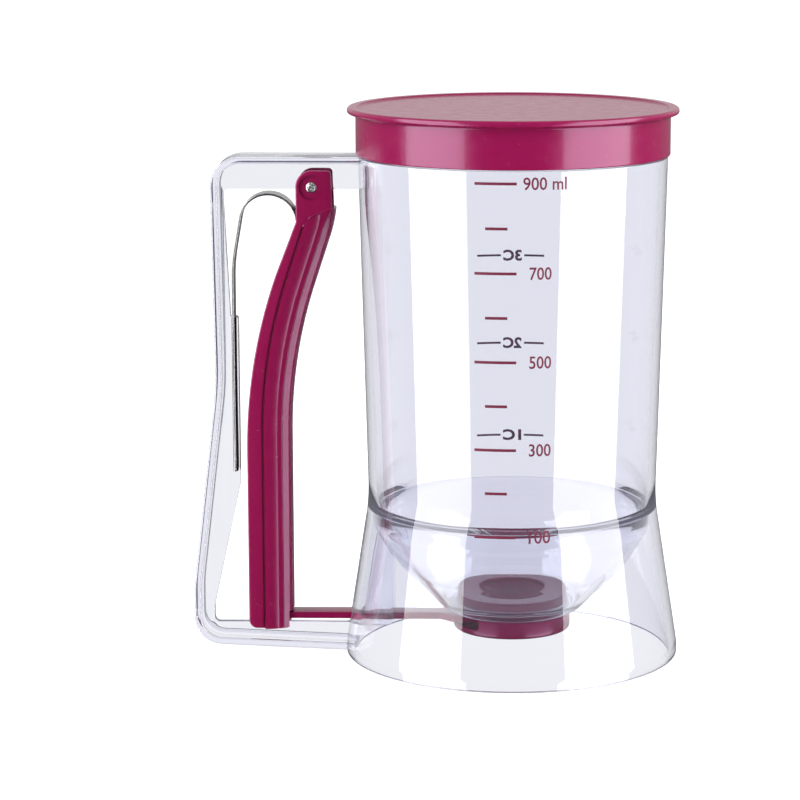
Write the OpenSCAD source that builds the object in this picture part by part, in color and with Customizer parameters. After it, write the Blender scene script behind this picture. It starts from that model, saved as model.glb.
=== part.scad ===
// Batter dispenser: clear jug with a bowl-shaped hopper, a trigger lever and a sliding gate.
// Millimetres, +Z up. The origin lies on the jug's axis, in the plane that the foot stands on.
// The handle points to -X.

/* [Jug] */
// Height of the jug to its rim
jug_h = 189.6; // [170:0.1:220]
// Outer radius of the jug just under the lid
shoulder_r = 53.3; // [51:0.1:62]
// Outer radius of the jug at the waist
waist_r = 50.2; // [46:0.1:52]
// Outer radius of the foot
base_r = 58.2; // [54:0.1:64]
// Height of the upright band of the foot
foot_h = 3.5; // [2:0.1:8]
// Thickness of the jug's wall and skirt
wall = 2.7; // [1.8:0.1:3.4]
// Radius of the bend at the waist
waist_bend = 67; // [20:1:90]
// Height of the neck under the lid
neck_h = 14.4; // [10:0.1:20]
// Step from the shoulder in to the neck
neck_step = 1.1; // [0.6:0.1:1.6]
// Thickness of the neck
neck_wall = 1.6; // [1.2:0.1:2.4]

/* [Lid] */
// Thickness of the lid's top
lid_t = 2.2; // [1.4:0.1:4]
// Depth of the dished middle of the lid's top
lid_dish = 0.6; // [0.2:0.1:1]
// Thickness of the lid's skirt
lid_skirt_t = 1.6; // [1:0.1:2.4]
// Overhang of the lid's brim past its skirt
lid_brim = 2.9; // [1.5:0.1:6]
// Width of the raised bead round the lid's top
lid_bead = 3.4; // [2:0.1:6]
// Radial gap between the lid's skirt and the neck
lid_gap = 0.3; // [0.15:0.05:0.5]
// Gap over the rim and over the shoulder
lid_seat_gap = 0.2; // [0.1:0.05:0.4]

/* [Hopper] */
// Thickness of the bowl
bowl_wall = 2.3; // [1.6:0.1:3]
// Radial gap between the hopper's rim and the jug's wall
bowl_gap = 0.2; // [0.1:0.05:0.4]
// Height of the waist over the bowl's underside
bowl_h = 39.4; // [38:0.1:42]
// Outer radius at the bend between the bowl's lower and upper cone
bowl_bend_r = 40.2; // [38:0.1:41]
// Slope of the bowl's lower cone, in degrees
bowl_low_slope = 45.5; // [43:0.5:48]
// Slope of the bowl's upper cone, in degrees
bowl_high_slope = 60; // [58:0.5:64]
// Drop from the waist to the ledge that the hopper's rim stands on
ledge_drop = 6; // [4:0.1:7]
// Height of the hopper's rim over the waist
rim_rise = -2.9; // [-3.2:0.1:2]
// Outer radius of the collar
collar_r = 21.45; // [20.8:0.05:22]
// Bore of the collar, radius
collar_bore_r = 19.55; // [18.6:0.05:19.8]
// Width of the flat ring under the bowl past the collar
bowl_flat = 2.3; // [1.5:0.1:3]
// Thickness of the ring inside the collar that the seat ring lies on
ledge_t = 1; // [0.8:0.1:1.5]

/* [Valve] */
// Height of the valve cup's underside over the table
cup_z = 8.4; // [6:0.1:12]
// Outer radius of the valve cup
cup_r = 20.45; // [19.9:0.05:20.8]
// Thickness of the valve cup's floor
cup_floor_t = 2.3; // [1.4:0.1:3]
// Height of the valve cup's neck inside the collar
cup_neck_h = 2.5; // [2.2:0.1:3]
// Thickness of the valve cup's neck
cup_neck_t = 1.9; // [1.4:0.1:2.2]
// Radius of the outlet
outlet_r = 9.5; // [6:0.1:9.8]
// Radius of the gate's round end
gate_r = 12; // [11.6:0.1:13]
// Thickness of the gate's round end
gate_t = 2.85; // [2.6:0.05:3.4]
// Width of the gate's bar
bar_w = 7.5; // [6:0.1:8]
// Thickness of the gate's bar
bar_t = 2.3; // [1.6:0.1:2.5]
// Gap over and under the gate
gate_gap = 0.25; // [0.15:0.05:0.4]
// Gap beside sliding and seated valve pieces
side_gap = 0.3; // [0.2:0.05:0.4]
// Thickness of the seat ring's flange
seat_t = 3.8; // [2:0.1:4.4]
// Radius of the seat ring's hole at its top
seat_hole_r = 11.7; // [10.6:0.1:13]
// Number of bayonet lugs on the valve cup
lug_count = 3; // [2:1:4]
// Radial height of a bayonet lug
lug_out = 0.6; // [0.4:0.1:0.7]

/* [Handle] */
// Distance from the shoulder to the outside of the grip
grip_reach = 50.8; // [48:0.1:60]
// Distance that the grip's foot stands further out
grip_flare = 7.4; // [7.2:0.1:12]
// Width of the handle's flange
flange_w = 15; // [12:0.1:20]
// Thickness of the handle's flange
flange_t = 2.6; // [2:0.1:2.9]
// Thickness of the handle's web
web_t = 3; // [2:0.1:3.4]
// Depth of the upper arm
arm_d = 11.8; // [10:0.1:14]
// Outer radius of the handle's upper corner
grip_corner_r = 10.5; // [6:0.1:14]

/* [Trigger] */
// Distance from the shoulder to the pivot
pivot_reach = 15.9; // [15:0.1:19]
// Drop from the shoulder to the pivot
pivot_drop = 10.8; // [10:0.1:12]
// Radius of the pivot pin
pin_r = 1.9; // [1.5:0.05:2.3]
// Running gap round the pivot pin
pin_gap = 0.05; // [0.02:0.01:0.09]
// Depth of the lever at its foot, front to back
lever_d = 15.4; // [14:0.1:15.8]
// Width of the lever's finger side
lever_w = 15; // [14.4:0.1:18]
// Width of the lever's ears and lips
ear_w = 12.8; // [12.6:0.1:14]
// Width of the channel inside the lever
channel_w = 10.4; // [9.8:0.1:10.8]
// Thickness of the lever's finger wall
front_t = 2.2; // [1.6:0.1:3]
// Lean of the lever's upper part, in degrees
lean = 18.2; // [16:0.1:19]
// Radius of the bend in the lever's finger side
lever_bend = 166; // [140:1:175]
// Height of the lever's foot over the table
foot_z = 8.5; // [7:0.1:9]

/* [Spring] */
// Width of the spring leaf
leaf_w = 8.8; // [6:0.1:9]
// Thickness of the spring leaf
leaf_t = 0.8; // [0.5:0.05:0.9]
// Radius of the spring's arch
arch_r = 9.75; // [9:0.05:10.2]
// Gap beside the spring's leg in its slit
leaf_gap = 0.13; // [0.1:0.01:0.25]

/* [Hidden] */
$fn = 72;
clear_plastic = [0.86, 0.87, 0.93, 0.45];
magenta = [0.5, 0.08, 0.28];
eps = 0.01;
far = 300;
arc_step = 10;

// Jug
shoulder_z = jug_h - neck_h;
neck_r = shoulder_r - neck_step;
neck_in_r = neck_r - neck_wall;
wall_in_r = waist_r - wall;
// Height over which the neck's bore runs into the wall's draft
neck_blend = 2;
// Upright run of the wall's bore over the hopper's rim
wall_flat = 1;
foot_round_in = 8;

// Gaps of seated pieces, and small steps that keep faces apart
seat_play = 0.2;
land_drop = 0.15;
flange_play = 0.05;
cup_rise = 0.55;
edge_break = 0.4;
lip_round = 0.3;

// Valve stack, from the table up
gate_z = cup_z + cup_floor_t + gate_gap;
gate_top_z = gate_z + gate_t;
seat_z = gate_top_z + gate_gap;
land_z = seat_z - land_drop;
cup_top_z = seat_z + cup_rise;
collar_z = cup_top_z + seat_play;
cup_neck_top_z = cup_top_z + cup_neck_h;
ledge_z = cup_neck_top_z + seat_play;
flange_z = ledge_z + ledge_t + flange_play;
seat_top_z = flange_z + seat_t;
cup_neck_r = collar_bore_r - seat_play;
cup_bore_r = cup_neck_r - cup_neck_t;
hub_r = cup_bore_r - seat_play;
flange_r = collar_bore_r - seat_play - flange_play;
seat_low_hole_r = outlet_r + 0.1;
seat_step = 1.6;
seat_round = 2;
outlet_chamfer = 0.8;

// Window of the valve cup
mouth_rise = 4.6;
mouth_share = 0.555;
mouth_x = -mouth_share * cup_r;
mouth_run = 3;

// Bayonet
lug_lift = 1.2;
lug_z = cup_top_z + lug_lift;
lug_t = 1.2;
lug_span = 24;
lug_turn = 30;
groove_gap = 0.15;
groove_r = cup_neck_r + lug_out + seat_play;
groove_play = 2;

// Hopper
bowl_r = wall_in_r - bowl_gap;
// Width of the shoulder under the hopper's rim
bowl_shoulder = 0.9;
bowl_top_r = bowl_r - bowl_shoulder;
collar_step = 1;
bowl_low_z = collar_z + collar_step;
bowl_flat_r = collar_r + bowl_flat;
bowl_bend_z = bowl_low_z + (bowl_bend_r - bowl_flat_r) * tan(bowl_low_slope);
bowl_top_z = bowl_bend_z + (bowl_top_r - bowl_bend_r) * tan(bowl_high_slope);
bowl_low_round = 4;
bowl_bend_round = 30;
bowl_top_round = 12;
bowl_floor_rise = 1.1;
bowl_floor_z = ledge_z + ledge_t + bowl_floor_rise;
waist_z = bowl_low_z + bowl_h;
rim_low_z = waist_z - ledge_drop;
rim_top_z = waist_z + rim_rise;
rim_chamfer = 0.8;
ledge_overlap = 0.15;
ledge_in_r = bowl_top_r + ledge_overlap;
ledge_depth = 1.2;
ledge_low_z = rim_low_z - ledge_depth;
ledge_run = 2;
skirt_slope = (base_r - waist_r) / (waist_z - foot_h);

// Bar, its slot in the skirt and its guides
bar_top_z = gate_top_z;
bar_z = bar_top_z - bar_t;
slot_side = 0.85;
bar_slot_w = bar_w + 2 * slot_side;
slot_under = 0.6;
slot_low_z = bar_z - slot_under;
slot_over = 1.5;
slot_top_z = bar_top_z + slot_over;
slot_out = 5;
guide_t = 1.5;
guide_reach = 21.15;
guide_in_x = -cup_r - guide_reach;
guide_drop = 1.7;
guide_low_z = bar_z - guide_drop;
guide_round = 2;
guide_notch_r = 1.9;
guide_notch_rise = 1;
guide_notch_x = guide_in_x - 9.3;
guide_top_z = rim_low_z - ledge_depth / 2;

// Lever, counted from the pivot
pivot_x = -(shoulder_r + pivot_reach);
pivot_z = shoulder_z - pivot_drop;
front_set = 7.8;
front_x = pivot_x - front_set;
back_x = front_x - lever_d;
bend_drop = 86.4;
bend_z = pivot_z - bend_drop;
back_bend = lever_bend + 20;
back_bend_drop = 6;
back_bend_z = bend_z - back_bend_drop;
back_lean = lean + 1.3;
lean_run = 40;
head_front = 6.8;
head_back = -5.4;
head_top = 5.8;
head_round = 5.5;
head_corner = 1.4;
head_back_drop = 11.9;
head_front_drop = 7.5;
head_flare = 0.4;
lip_depth = 3;
lip_drop = 14;
ridge_back = 9.4;
ridge_front = 14.6;
ridge_back_drop = 14.2;
ridge_front_drop = 4.2;
ridge_depth = 9.6;
nose_bend = 45;
nose_bend_drop = 17.4;
groove_w = 0.7;
groove_d = 0.5;
nose_round = 4.5;
edge_round = 0.6;
wall_drop = 7.4;
wall_top_z = pivot_z - wall_drop;
foot_round = 3;
body_low_round = 2.5;
boss_r = 4;
boss_gap = 0.4;
recess_r = 4.3;
recess_d = 0.8;
pin_proud = 0.3;

// Link between the lever's foot and the bar
rib_set = 15.3;
rib_x = pivot_x - rib_set;
rib_w = 2.4;
rib_in = 2.9;
rib_lift = 0.6;
rib_low_z = foot_z + rib_lift;
rib_rise = 9;
rib_top_z = bar_top_z + rib_rise;
notch_gap = 0.35;
notch_in = rib_in - side_gap;
pad_side = 0.55;
pad_w = bar_w + 2 * pad_side;
pad_end = 1.55;
pad_run = 2.4;
pad_taper = 1;
front_gap = 0.7;
front_low_z = bar_top_z + front_gap;

// Gate
flare_out = 4.65;
flare_x = -cup_r - flare_out;
flare_run = 4.5;
flare_in_x = flare_x + flare_run;
flare_w = 16;
flare_inner = 2;

// Handle
grip_x = -(shoulder_r + grip_reach);
grip_foot_x = grip_x - grip_flare;
grip_waist = 1.1;
grip_mid_x = grip_x + grip_waist;
grip_waist_drop = 69.4;
grip_mid_z = pivot_z - grip_waist_drop;
grip_waist_round = 120;
grip_low_z = 24;
grip_low_round = 60;
grip_foot_round = 10;
arm_low_z = 3.2;
arm_end_z = 0.95;
web_under = 1.8;
web_low_z = bar_z - web_under;
web_foot_h = 6;
web_foot_d = 4;
web_in_x = grip_foot_x + flange_t + web_foot_d;
web_round = 2;
web_foot_round = 3;
lobe_r = 4.4;
inside_d = 8.3;
inside_x = inside_d - shoulder_r;

// Spring
leaf_set = 27.6;
leaf_x = pivot_x - leaf_set;
leaf_drop = 100;
leaf_low_z = pivot_z - leaf_drop;
strip_drop = 45.4;
strip_top_z = pivot_z - strip_drop;
strip_t = 1.15;
strip_round = 1;
strip_foot_round = 12;
strip_foot = 4;
web_back_top = 3.2;
web_back_low = 1.1;
slit_w = leaf_t + 2 * leaf_gap;
slit_over = 3;
arch_set = 15.15;
arch_x = pivot_x - arch_set;
arch_drop = 12.3;
arch_z = pivot_z - arch_drop;
leaf_lean = 9.9;
leaf_bend = 60;
arch_end = -5;
tail = 6;
rest_gap = 0.3;
rest_t = 1.9;
rest_h = 8;
rest_over = 1;

// Outline helpers

function unit(v) = v / norm(v);

function wrap(a) = a > 180 ? a - 360 : a < -180 ? a + 360 : a;

// Points of an arc about c from angle a to angle b
function arc(c, r, a, b) =
    let (n = max(2, ceil(abs(b - a) / arc_step)))
    [for (i = [0 : n]) c + r * [cos(a + (b - a) * i / n), sin(a + (b - a) * i / n)]];

// Corner b between a and c, rounded with radius r
function corner(a, b, c, r) =
    r <= 0 ? [b] :
    let (u = unit(a - b),
         v = unit(c - b),
         half = acos(u * v) / 2,
         m = b + unit(u + v) * r / sin(half),
         p = b + u * r / tan(half) - m,
         q = b + v * r / tan(half) - m,
         start = atan2(p[1], p[0]))
    arc(m, r, start, start + wrap(atan2(q[1], q[0]) - start));

function flat(p) = [p[0], p[1]];

// Closed outline through points [x, y, corner radius]
function rounded(pts) =
    let (n = len(pts))
    [for (i = [0 : n - 1])
        each corner(flat(pts[(i + n - 1) % n]), flat(pts[i]), flat(pts[(i + 1) % n]), pts[i][2])];

// The same closed outline, counter-clockwise, with every edge moved inwards by d
function inset(pts, d) =
    let (n = len(pts))
    [for (i = [0 : n - 1])
        let (p = flat(pts[i]),
             u = unit(p - flat(pts[(i + n - 1) % n])),
             v = unit(flat(pts[(i + 1) % n]) - p),
             m = [-u[1], u[0]],
             k = [-v[1], v[0]],
             turn = u[0] * v[1] - u[1] * v[0],
             q = p + d * (m + k) / (1 + m * k))
        [q[0], q[1], pts[i][2] > 0 ? max(0, pts[i][2] - sign(turn) * d) : 0]];

// Solid between y = -w / 2 and y = w / 2 of an outline drawn in x and z
module side_plate(w) {
    rotate([90, 0, 0])
        linear_extrude(w, center = true)
            children();
}

// Outline of the space that the bowl takes up
bowl_corners = [
    [0, bowl_low_z, 0],
    [bowl_flat_r, bowl_low_z, bowl_low_round],
    [bowl_bend_r, bowl_bend_z, bowl_bend_round],
    [bowl_top_r, bowl_top_z, bowl_top_round],
    [bowl_top_r, rim_top_z, 0],
    [0, rim_top_z, 0]
];
bowl_inside = inset(bowl_corners, bowl_wall);

// Inner radius of the skirt at height z
function skirt_in_r(z) = waist_r - wall + (waist_z - z) * skirt_slope;

// Jug

outer_outline = [
    [base_r, 0, 1],
    [base_r, foot_h, foot_round_in],
    [waist_r, waist_z, waist_bend],
    [shoulder_r, shoulder_z, 0.3]
];

module jug_wall_outline() {
    polygon(rounded(concat(outer_outline, [
        [neck_r, shoulder_z, 0.3],
        [neck_r, jug_h, 0.7],
        [neck_in_r, jug_h, 0.5],
        [neck_in_r, shoulder_z + neck_blend, 0],
        [shoulder_r - wall, shoulder_z - neck_blend, 0],
        [wall_in_r, rim_top_z + wall_flat, 0],
        [wall_in_r, rim_low_z, 0],
        [ledge_in_r, rim_low_z, 0],
        [ledge_in_r, ledge_low_z, 0.4],
        [skirt_in_r(ledge_low_z - ledge_run), ledge_low_z - ledge_run, 3],
        [base_r - wall, foot_h, foot_round_in],
        [base_r - wall, 0, 0.3]
    ])));
}

// Solid of the jug's outer form, moved inwards by d
module jug_form(d) {
    rotate_extrude()
        translate([-d, 0])
            polygon(rounded(concat([[d, 0, 0]], outer_outline, [[d, shoulder_z, 0]])));
}

// Two panels beside the bar, from the skirt in under the bowl
module bar_guides() {
    difference() {
        intersection() {
            for (side = [-1, 1])
                translate([0, side * (bar_slot_w + guide_t) / 2, 0])
                    side_plate(guide_t)
                        guide_panel();
            jug_form(wall / 2);
        }
        rotate_extrude()
            bowl_space();
    }
}

module guide_panel() {
    difference() {
        polygon(rounded([
            [guide_in_x, guide_low_z, guide_round],
            [guide_in_x, guide_top_z, 0],
            [-base_r, guide_top_z, 0],
            [-base_r, guide_low_z, 0]
        ]));
        translate([guide_notch_x, guide_low_z + guide_notch_rise])
            circle(guide_notch_r);
        translate([guide_notch_x - guide_notch_r, guide_low_z - guide_notch_rise])
            square([2 * guide_notch_r, 2 * guide_notch_rise]);
    }
}

module jug_wall() {
    color(clear_plastic) {
        difference() {
            rotate_extrude()
                jug_wall_outline();
            bar_slot();
        }
        bar_guides();
    }
}

// Slot in the skirt that the bar runs through
module bar_slot() {
    translate([-base_r - slot_out, -bar_slot_w / 2, slot_low_z])
        cube([base_r + slot_out + guide_in_x, bar_slot_w, slot_top_z - slot_low_z]);
}

// Hopper

// Space that the bowl takes up, with a gap all round it but at the axis
module bowl_space() {
    intersection() {
        polygon(rounded(inset(bowl_corners, -side_gap)));
        square(far);
    }
}

function reversed(pts) = [for (i = [len(pts) - 1 : -1 : 0]) pts[i]];

module hopper() {
    in_bend = bowl_inside[2];
    in_top = bowl_inside[3];
    floor_r = in_bend[0] - (in_bend[1] - bowl_floor_z) / tan(bowl_low_slope);
    color(clear_plastic)
        difference() {
            rotate_extrude()
                polygon(rounded([
                    [collar_bore_r, collar_z, 0],
                    [collar_r, collar_z, 0],
                    [collar_r, bowl_low_z, 0],
                    bowl_corners[1],
                    bowl_corners[2],
                    bowl_corners[3],
                    [bowl_top_r, rim_low_z, 0],
                    [bowl_r, rim_low_z, 0],
                    [bowl_r, rim_top_z - rim_chamfer, 0],
                    [bowl_r - rim_chamfer, rim_top_z, 0],
                    [in_top[0], rim_top_z - 2 * rim_chamfer, 0],
                    in_top,
                    in_bend,
                    [floor_r, bowl_floor_z, bowl_low_round],
                    [collar_bore_r + edge_break, bowl_floor_z, 0],
                    [collar_bore_r, bowl_floor_z - edge_break, 0],
                    [collar_bore_r, ledge_z + ledge_t, 0],
                    [cup_bore_r, ledge_z + ledge_t, 0],
                    [cup_bore_r, ledge_z, 0],
                    [collar_bore_r, ledge_z, 0]
                ]));
            bayonet_grooves();
        }
}

// Part of a ring from angle a over the span, between radii r and big_r, from z up by h
module ring_part(a, span, r, big_r, z, h) {
    rotate([0, 0, a])
        translate([0, 0, z])
            rotate_extrude(angle = span)
                translate([r, 0])
                    square([big_r - r, h]);
}

module bayonet_grooves() {
    for (i = [0 : lug_count - 1]) {
        a = i * 360 / lug_count - lug_span / 2 - groove_play;
        ring_part(a, lug_span + 2 * groove_play + lug_turn, collar_bore_r - 0.5, groove_r,
                  lug_z - groove_gap, lug_t + 2 * groove_gap);
        ring_part(a + lug_turn + 0.5, lug_span + 2 * groove_play - 1, collar_bore_r - 0.4, groove_r + 0.1,
                  collar_z - 1, lug_z + lug_t - collar_z + 1);
    }
}

// Valve

module seat_ring() {
    color(magenta)
        rotate_extrude()
            polygon(rounded([
                [seat_low_hole_r, seat_z, 0.2],
                [hub_r, seat_z, lip_round],
                [hub_r, flange_z, 0],
                [flange_r, flange_z, 0.2],
                [flange_r, seat_top_z, 0.5],
                [seat_hole_r, seat_top_z, 0.5],
                [seat_hole_r, seat_top_z - seat_step, seat_round],
                [seat_low_hole_r, seat_z + seat_round, seat_round]
            ]));
}

// Pocket of the valve cup, seen from above, open to -X
module gate_pocket() {
    pocket_r = gate_r + side_gap;
    mouth = pocket_r + mouth_rise;
    circle(pocket_r);
    side = [[0, pocket_r], [mouth_x + mouth_run, pocket_r], [mouth_x, mouth], [-2 * cup_r, mouth]];
    polygon(concat(side, [for (p = reversed(side)) [p[0], -p[1]]]));
}

module valve_cup() {
    color(magenta) {
        difference() {
            union() {
                rotate_extrude()
                    polygon(rounded([
                        [outlet_r / 2, cup_z, 0],
                        [cup_r, cup_z, 1],
                        [cup_r, cup_top_z, edge_break],
                        [cup_neck_r, cup_top_z, 0],
                        [cup_neck_r, cup_neck_top_z, lip_round],
                        [cup_bore_r, cup_neck_top_z, lip_round],
                        [cup_bore_r, land_z, 0],
                        [outlet_r / 2, land_z, 0]
                    ]));
                for (i = [0 : lug_count - 1])
                    ring_part(i * 360 / lug_count - lug_span / 2, lug_span, cup_neck_r - 0.5,
                              cup_neck_r + lug_out, lug_z, lug_t);
            }
            translate([0, 0, cup_z + cup_floor_t])
                linear_extrude(cup_top_z - cup_z - cup_floor_t)
                    gate_pocket();
            translate([0, 0, cup_z - 1])
                cylinder(r = outlet_r, h = cup_floor_t + 2);
            translate([0, 0, cup_z - eps])
                cylinder(r1 = outlet_r + outlet_chamfer, r2 = outlet_r, h = outlet_chamfer);
        }
    }
}

// One side of the bar's outline, from the gate out to its end
bar_side = [
    [0, flare_w / 2 + flare_inner],
    [flare_in_x, flare_w / 2],
    [flare_x, bar_w / 2],
    [rib_x + rib_w / 2 + notch_gap + pad_run + pad_taper, bar_w / 2],
    [rib_x + rib_w / 2 + notch_gap + pad_run, pad_w / 2],
    [rib_x + rib_w / 2 + notch_gap, pad_w / 2],
    [rib_x + rib_w / 2 + notch_gap, notch_in],
    [rib_x - rib_w / 2 - notch_gap, notch_in],
    [rib_x - rib_w / 2 - notch_gap, pad_w / 2],
    [rib_x - rib_w / 2 - notch_gap - pad_end + pad_taper / 2, pad_w / 2],
    [rib_x - rib_w / 2 - notch_gap - pad_end, pad_w / 2 - pad_taper]
];

module valve_gate() {
    color(magenta) {
        translate([0, 0, gate_z])
            cylinder(r = gate_r, h = gate_t);
        translate([0, 0, bar_z])
            linear_extrude(bar_t)
                polygon(concat(bar_side, [for (p = reversed(bar_side)) [p[0], -p[1]]]));
    }
}

// Handle

grip_outline = [
    [inside_x, shoulder_z, 0],
    [grip_x, shoulder_z, grip_corner_r],
    [grip_mid_x, grip_mid_z, grip_waist_round],
    [grip_foot_x, grip_low_z, grip_low_round],
    [grip_foot_x, arm_low_z, grip_foot_round],
    [-base_r, arm_end_z, 0],
    [inside_x, arm_end_z, 0]
];

// Inner edge of the web, with the strip that stands in front of the spring's leg
strip_in_x = leaf_x + slit_w / 2 + strip_t;
web_opening = [
    [inside_x, shoulder_z - arm_d, 0],
    [leaf_x - web_back_top, shoulder_z - arm_d, web_round],
    [leaf_x - web_back_low, strip_top_z, 0],
    [strip_in_x, strip_top_z, strip_round],
    [strip_in_x, leaf_low_z - strip_foot, strip_foot_round],
    [web_in_x, web_low_z + web_foot_h, web_foot_round],
    [web_in_x, web_low_z, web_round],
    [inside_x, web_low_z, 0]
];

module handle_frame() {
    color(clear_plastic)
        difference() {
            union() {
                side_plate(flange_w)
                    difference() {
                        polygon(rounded(grip_outline));
                        polygon(rounded(inset(grip_outline, flange_t)));
                    }
                side_plate(web_t) {
                    difference() {
                        polygon(rounded(inset(grip_outline, flange_t / 2)));
                        polygon(rounded(web_opening));
                        translate([leaf_x - slit_w / 2, leaf_low_z - leaf_gap])
                            square([slit_w, strip_top_z - leaf_low_z + slit_over]);
                    }
                    translate([pivot_x, pivot_z])
                        circle(lobe_r);
                }
            }
            jug_form(0);
            pivot_bore(pin_r + pin_gap);
        }
}

module pivot_bore(r) {
    translate([pivot_x, 0, pivot_z])
        rotate([90, 0, 0])
            cylinder(r = r, h = 2 * flange_w, center = true);
}

// Lever

// Finger edge of the lever, moved back by d, from height low up to the head
function finger_edge(d, low) = concat(
    [[front_x - d, low]],
    arc([front_x + lever_bend, bend_z], lever_bend + d, 180, 180 - lean),
    [finger_end(d)]
);

// Point on the leaning part of the finger edge, moved back by d, level with the head
function finger_end(d) =
    [front_x + lever_bend, bend_z]
    + (lever_bend + d) * [-cos(lean), sin(lean)]
    + lean_run * [sin(lean), cos(lean)];

// Back edge of the lever, from its foot up to the head
back_edge = concat(
    arc([back_x + foot_round, foot_z + foot_round], foot_round, 270, 180),
    arc([back_x + back_bend, back_bend_z], back_bend, 180, 180 - back_lean)
);

module lever_side_outline() {
    polygon(concat(
        back_edge,
        [[pivot_x + head_back, pivot_z - head_back_drop]],
        arc([pivot_x + head_back + head_round, pivot_z + head_top - head_round], head_round, 180, 90),
        arc([pivot_x + head_front - head_corner, pivot_z + head_top - head_corner], head_corner, 90, 0),
        [[pivot_x + head_front + head_flare, pivot_z - head_front_drop]],
        [for (p = reversed(finger_edge(lip_depth, foot_z))) if (p[1] < pivot_z - lip_drop) p]
    ));
}

// Section of the finger side: x is the depth behind the finger edge, y is across
module finger_section() {
    w = lever_w / 2;
    polygon(rounded([
        [0, -w, nose_round],
        [ridge_depth, -w, edge_round],
        [ridge_depth, w, edge_round],
        [0, w, nose_round]
    ]));
}

// Finger side of the lever: the section along the upright, round the bend and up the lean
module finger_body() {
    difference() {
        union() {
            translate([front_x, 0, foot_z])
                mirror([1, 0, 0])
                    linear_extrude(bend_z - foot_z + eps)
                        finger_section();
            translate([front_x + lever_bend, 0, bend_z])
                rotate([90, 0, 180])
                    rotate_extrude(angle = lean)
                        translate([lever_bend, 0])
                            finger_section();
            translate([front_x + lever_bend * (1 - cos(lean)), 0, bend_z + lever_bend * sin(lean)])
                rotate([0, lean, 0])
                    mirror([1, 0, 0])
                        linear_extrude(lean_run)
                            finger_section();
        }
        side_plate(2 * lever_w)
            above_ridge();
        side_plate(2 * lever_w)
            before_nose();
        side_plate(2 * lever_w)
            below_foot();
    }
}

// Everything over the slanting top end of the finger side
module above_ridge() {
    polygon([[pivot_x - ridge_back, pivot_z - ridge_back_drop],
             [pivot_x + ridge_front, pivot_z - ridge_front_drop],
             [pivot_x + lean_run, pivot_z + lean_run],
             [pivot_x - lean_run, pivot_z + lean_run],
             [pivot_x - lean_run, pivot_z - ridge_back_drop]]);
}

// Everything in front of the top of the finger edge, where it bends back upright
module before_nose() {
    start = finger_end(0) - (finger_end(0)[1] - pivot_z + nose_bend_drop) * [tan(lean), 1];
    middle = start - nose_bend * [cos(lean), -sin(lean)];
    polygon(concat(arc(middle, nose_bend, -lean, 0),
                   [[middle[0] + nose_bend, pivot_z], [far, pivot_z], [far, start[1]]]));
}

// Corner cut off under the finger side
module below_foot() {
    difference() {
        translate([front_x - body_low_round, foot_z - eps])
            square([far, body_low_round + eps]);
        translate([front_x - body_low_round, foot_z + body_low_round])
            circle(body_low_round);
    }
}

// Channel inside the lever: open behind, below, and over the finger wall
module channel_outline() {
    intersection() {
        polygon(concat(finger_edge(front_t, 0), [[-far, pivot_z + lean_run], [-far, 0]]));
        translate([-far, front_low_z])
            square([far, wall_top_z - front_low_z]);
    }
    translate([-far, foot_z - 1])
        square([far, front_low_z - foot_z + 1]);
    translate([-far, wall_top_z])
        square([far, lean_run]);
}

module side_grooves() {
    for (side = [-1, 1])
        translate([0, side * (ear_w / 2 + lever_w / 4 - groove_d / 2), 0])
            side_plate(lever_w / 2 + groove_d - eps)
                polygon(concat(finger_edge(ridge_depth - eps, foot_z - 1),
                               reversed(finger_edge(ridge_depth + groove_w, foot_z - 1))));
}

module ear_recess(side) {
    translate([pivot_x, side * (ear_w / 2 - recess_d), pivot_z])
        rotate([-90 * side, 0, 0])
            cylinder(r = recess_r, h = 2 * recess_d);
}

module trigger_lever() {
    color(magenta) {
        difference() {
            union() {
                difference() {
                    side_plate(ear_w)
                        lever_side_outline();
                    intersection() {
                        side_grooves();
                        side_plate(2 * lever_w)
                            translate([-far, 0])
                                square([far, pivot_z - ridge_back_drop]);
                    }
                }
                finger_body();
            }
            side_plate(channel_w)
                channel_outline();
            for (side = [-1, 1])
                ear_recess(side);
            pivot_bore(pin_r);
        }
        for (side = [-1, 1]) {
            ear_boss(side);
            link_rib(side);
        }
        spring_rest();
    }
}

// Boss inside an ear, from the ear in to the handle's web
module ear_boss(side) {
    boss_in = web_t / 2 + boss_gap;
    difference() {
        translate([pivot_x, side * boss_in, pivot_z])
            rotate([-90 * side, 0, 0])
                cylinder(r = boss_r, h = channel_w / 2 - boss_in);
        pivot_bore(pin_r);
    }
}

// Rib inside a cheek of the foot, which stands in the bar's notch
module link_rib(side) {
    reach = channel_w / 2 - rib_in;
    translate([rib_x - rib_w / 2, side > 0 ? rib_in : -rib_in - reach, rib_low_z])
        cube([rib_w, reach, rib_top_z - rib_low_z]);
}

// Wall across the channel that the spring's tip pushes on
module spring_rest() {
    translate([arch_x + arch_r + leaf_t / 2 + rest_gap, -channel_w / 2, arch_z - rest_h + rest_over])
        cube([rest_t, channel_w, rest_h]);
}

module pivot_pin() {
    color("silver")
        translate([pivot_x, 0, pivot_z])
            rotate([90, 0, 0])
                cylinder(r = pin_r, h = ear_w - 2 * recess_d + 2 * pin_proud, center = true);
}

// Spring

arch_foot = [arch_x - arch_r * cos(leaf_lean), arch_z + arch_r * sin(leaf_lean)];
lean_low_z = arch_foot[1] - (arch_foot[0] - leaf_x) / tan(leaf_lean);
arch_tip = [arch_x + arch_r * cos(arch_end), arch_z + arch_r * sin(arch_end)];

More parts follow.
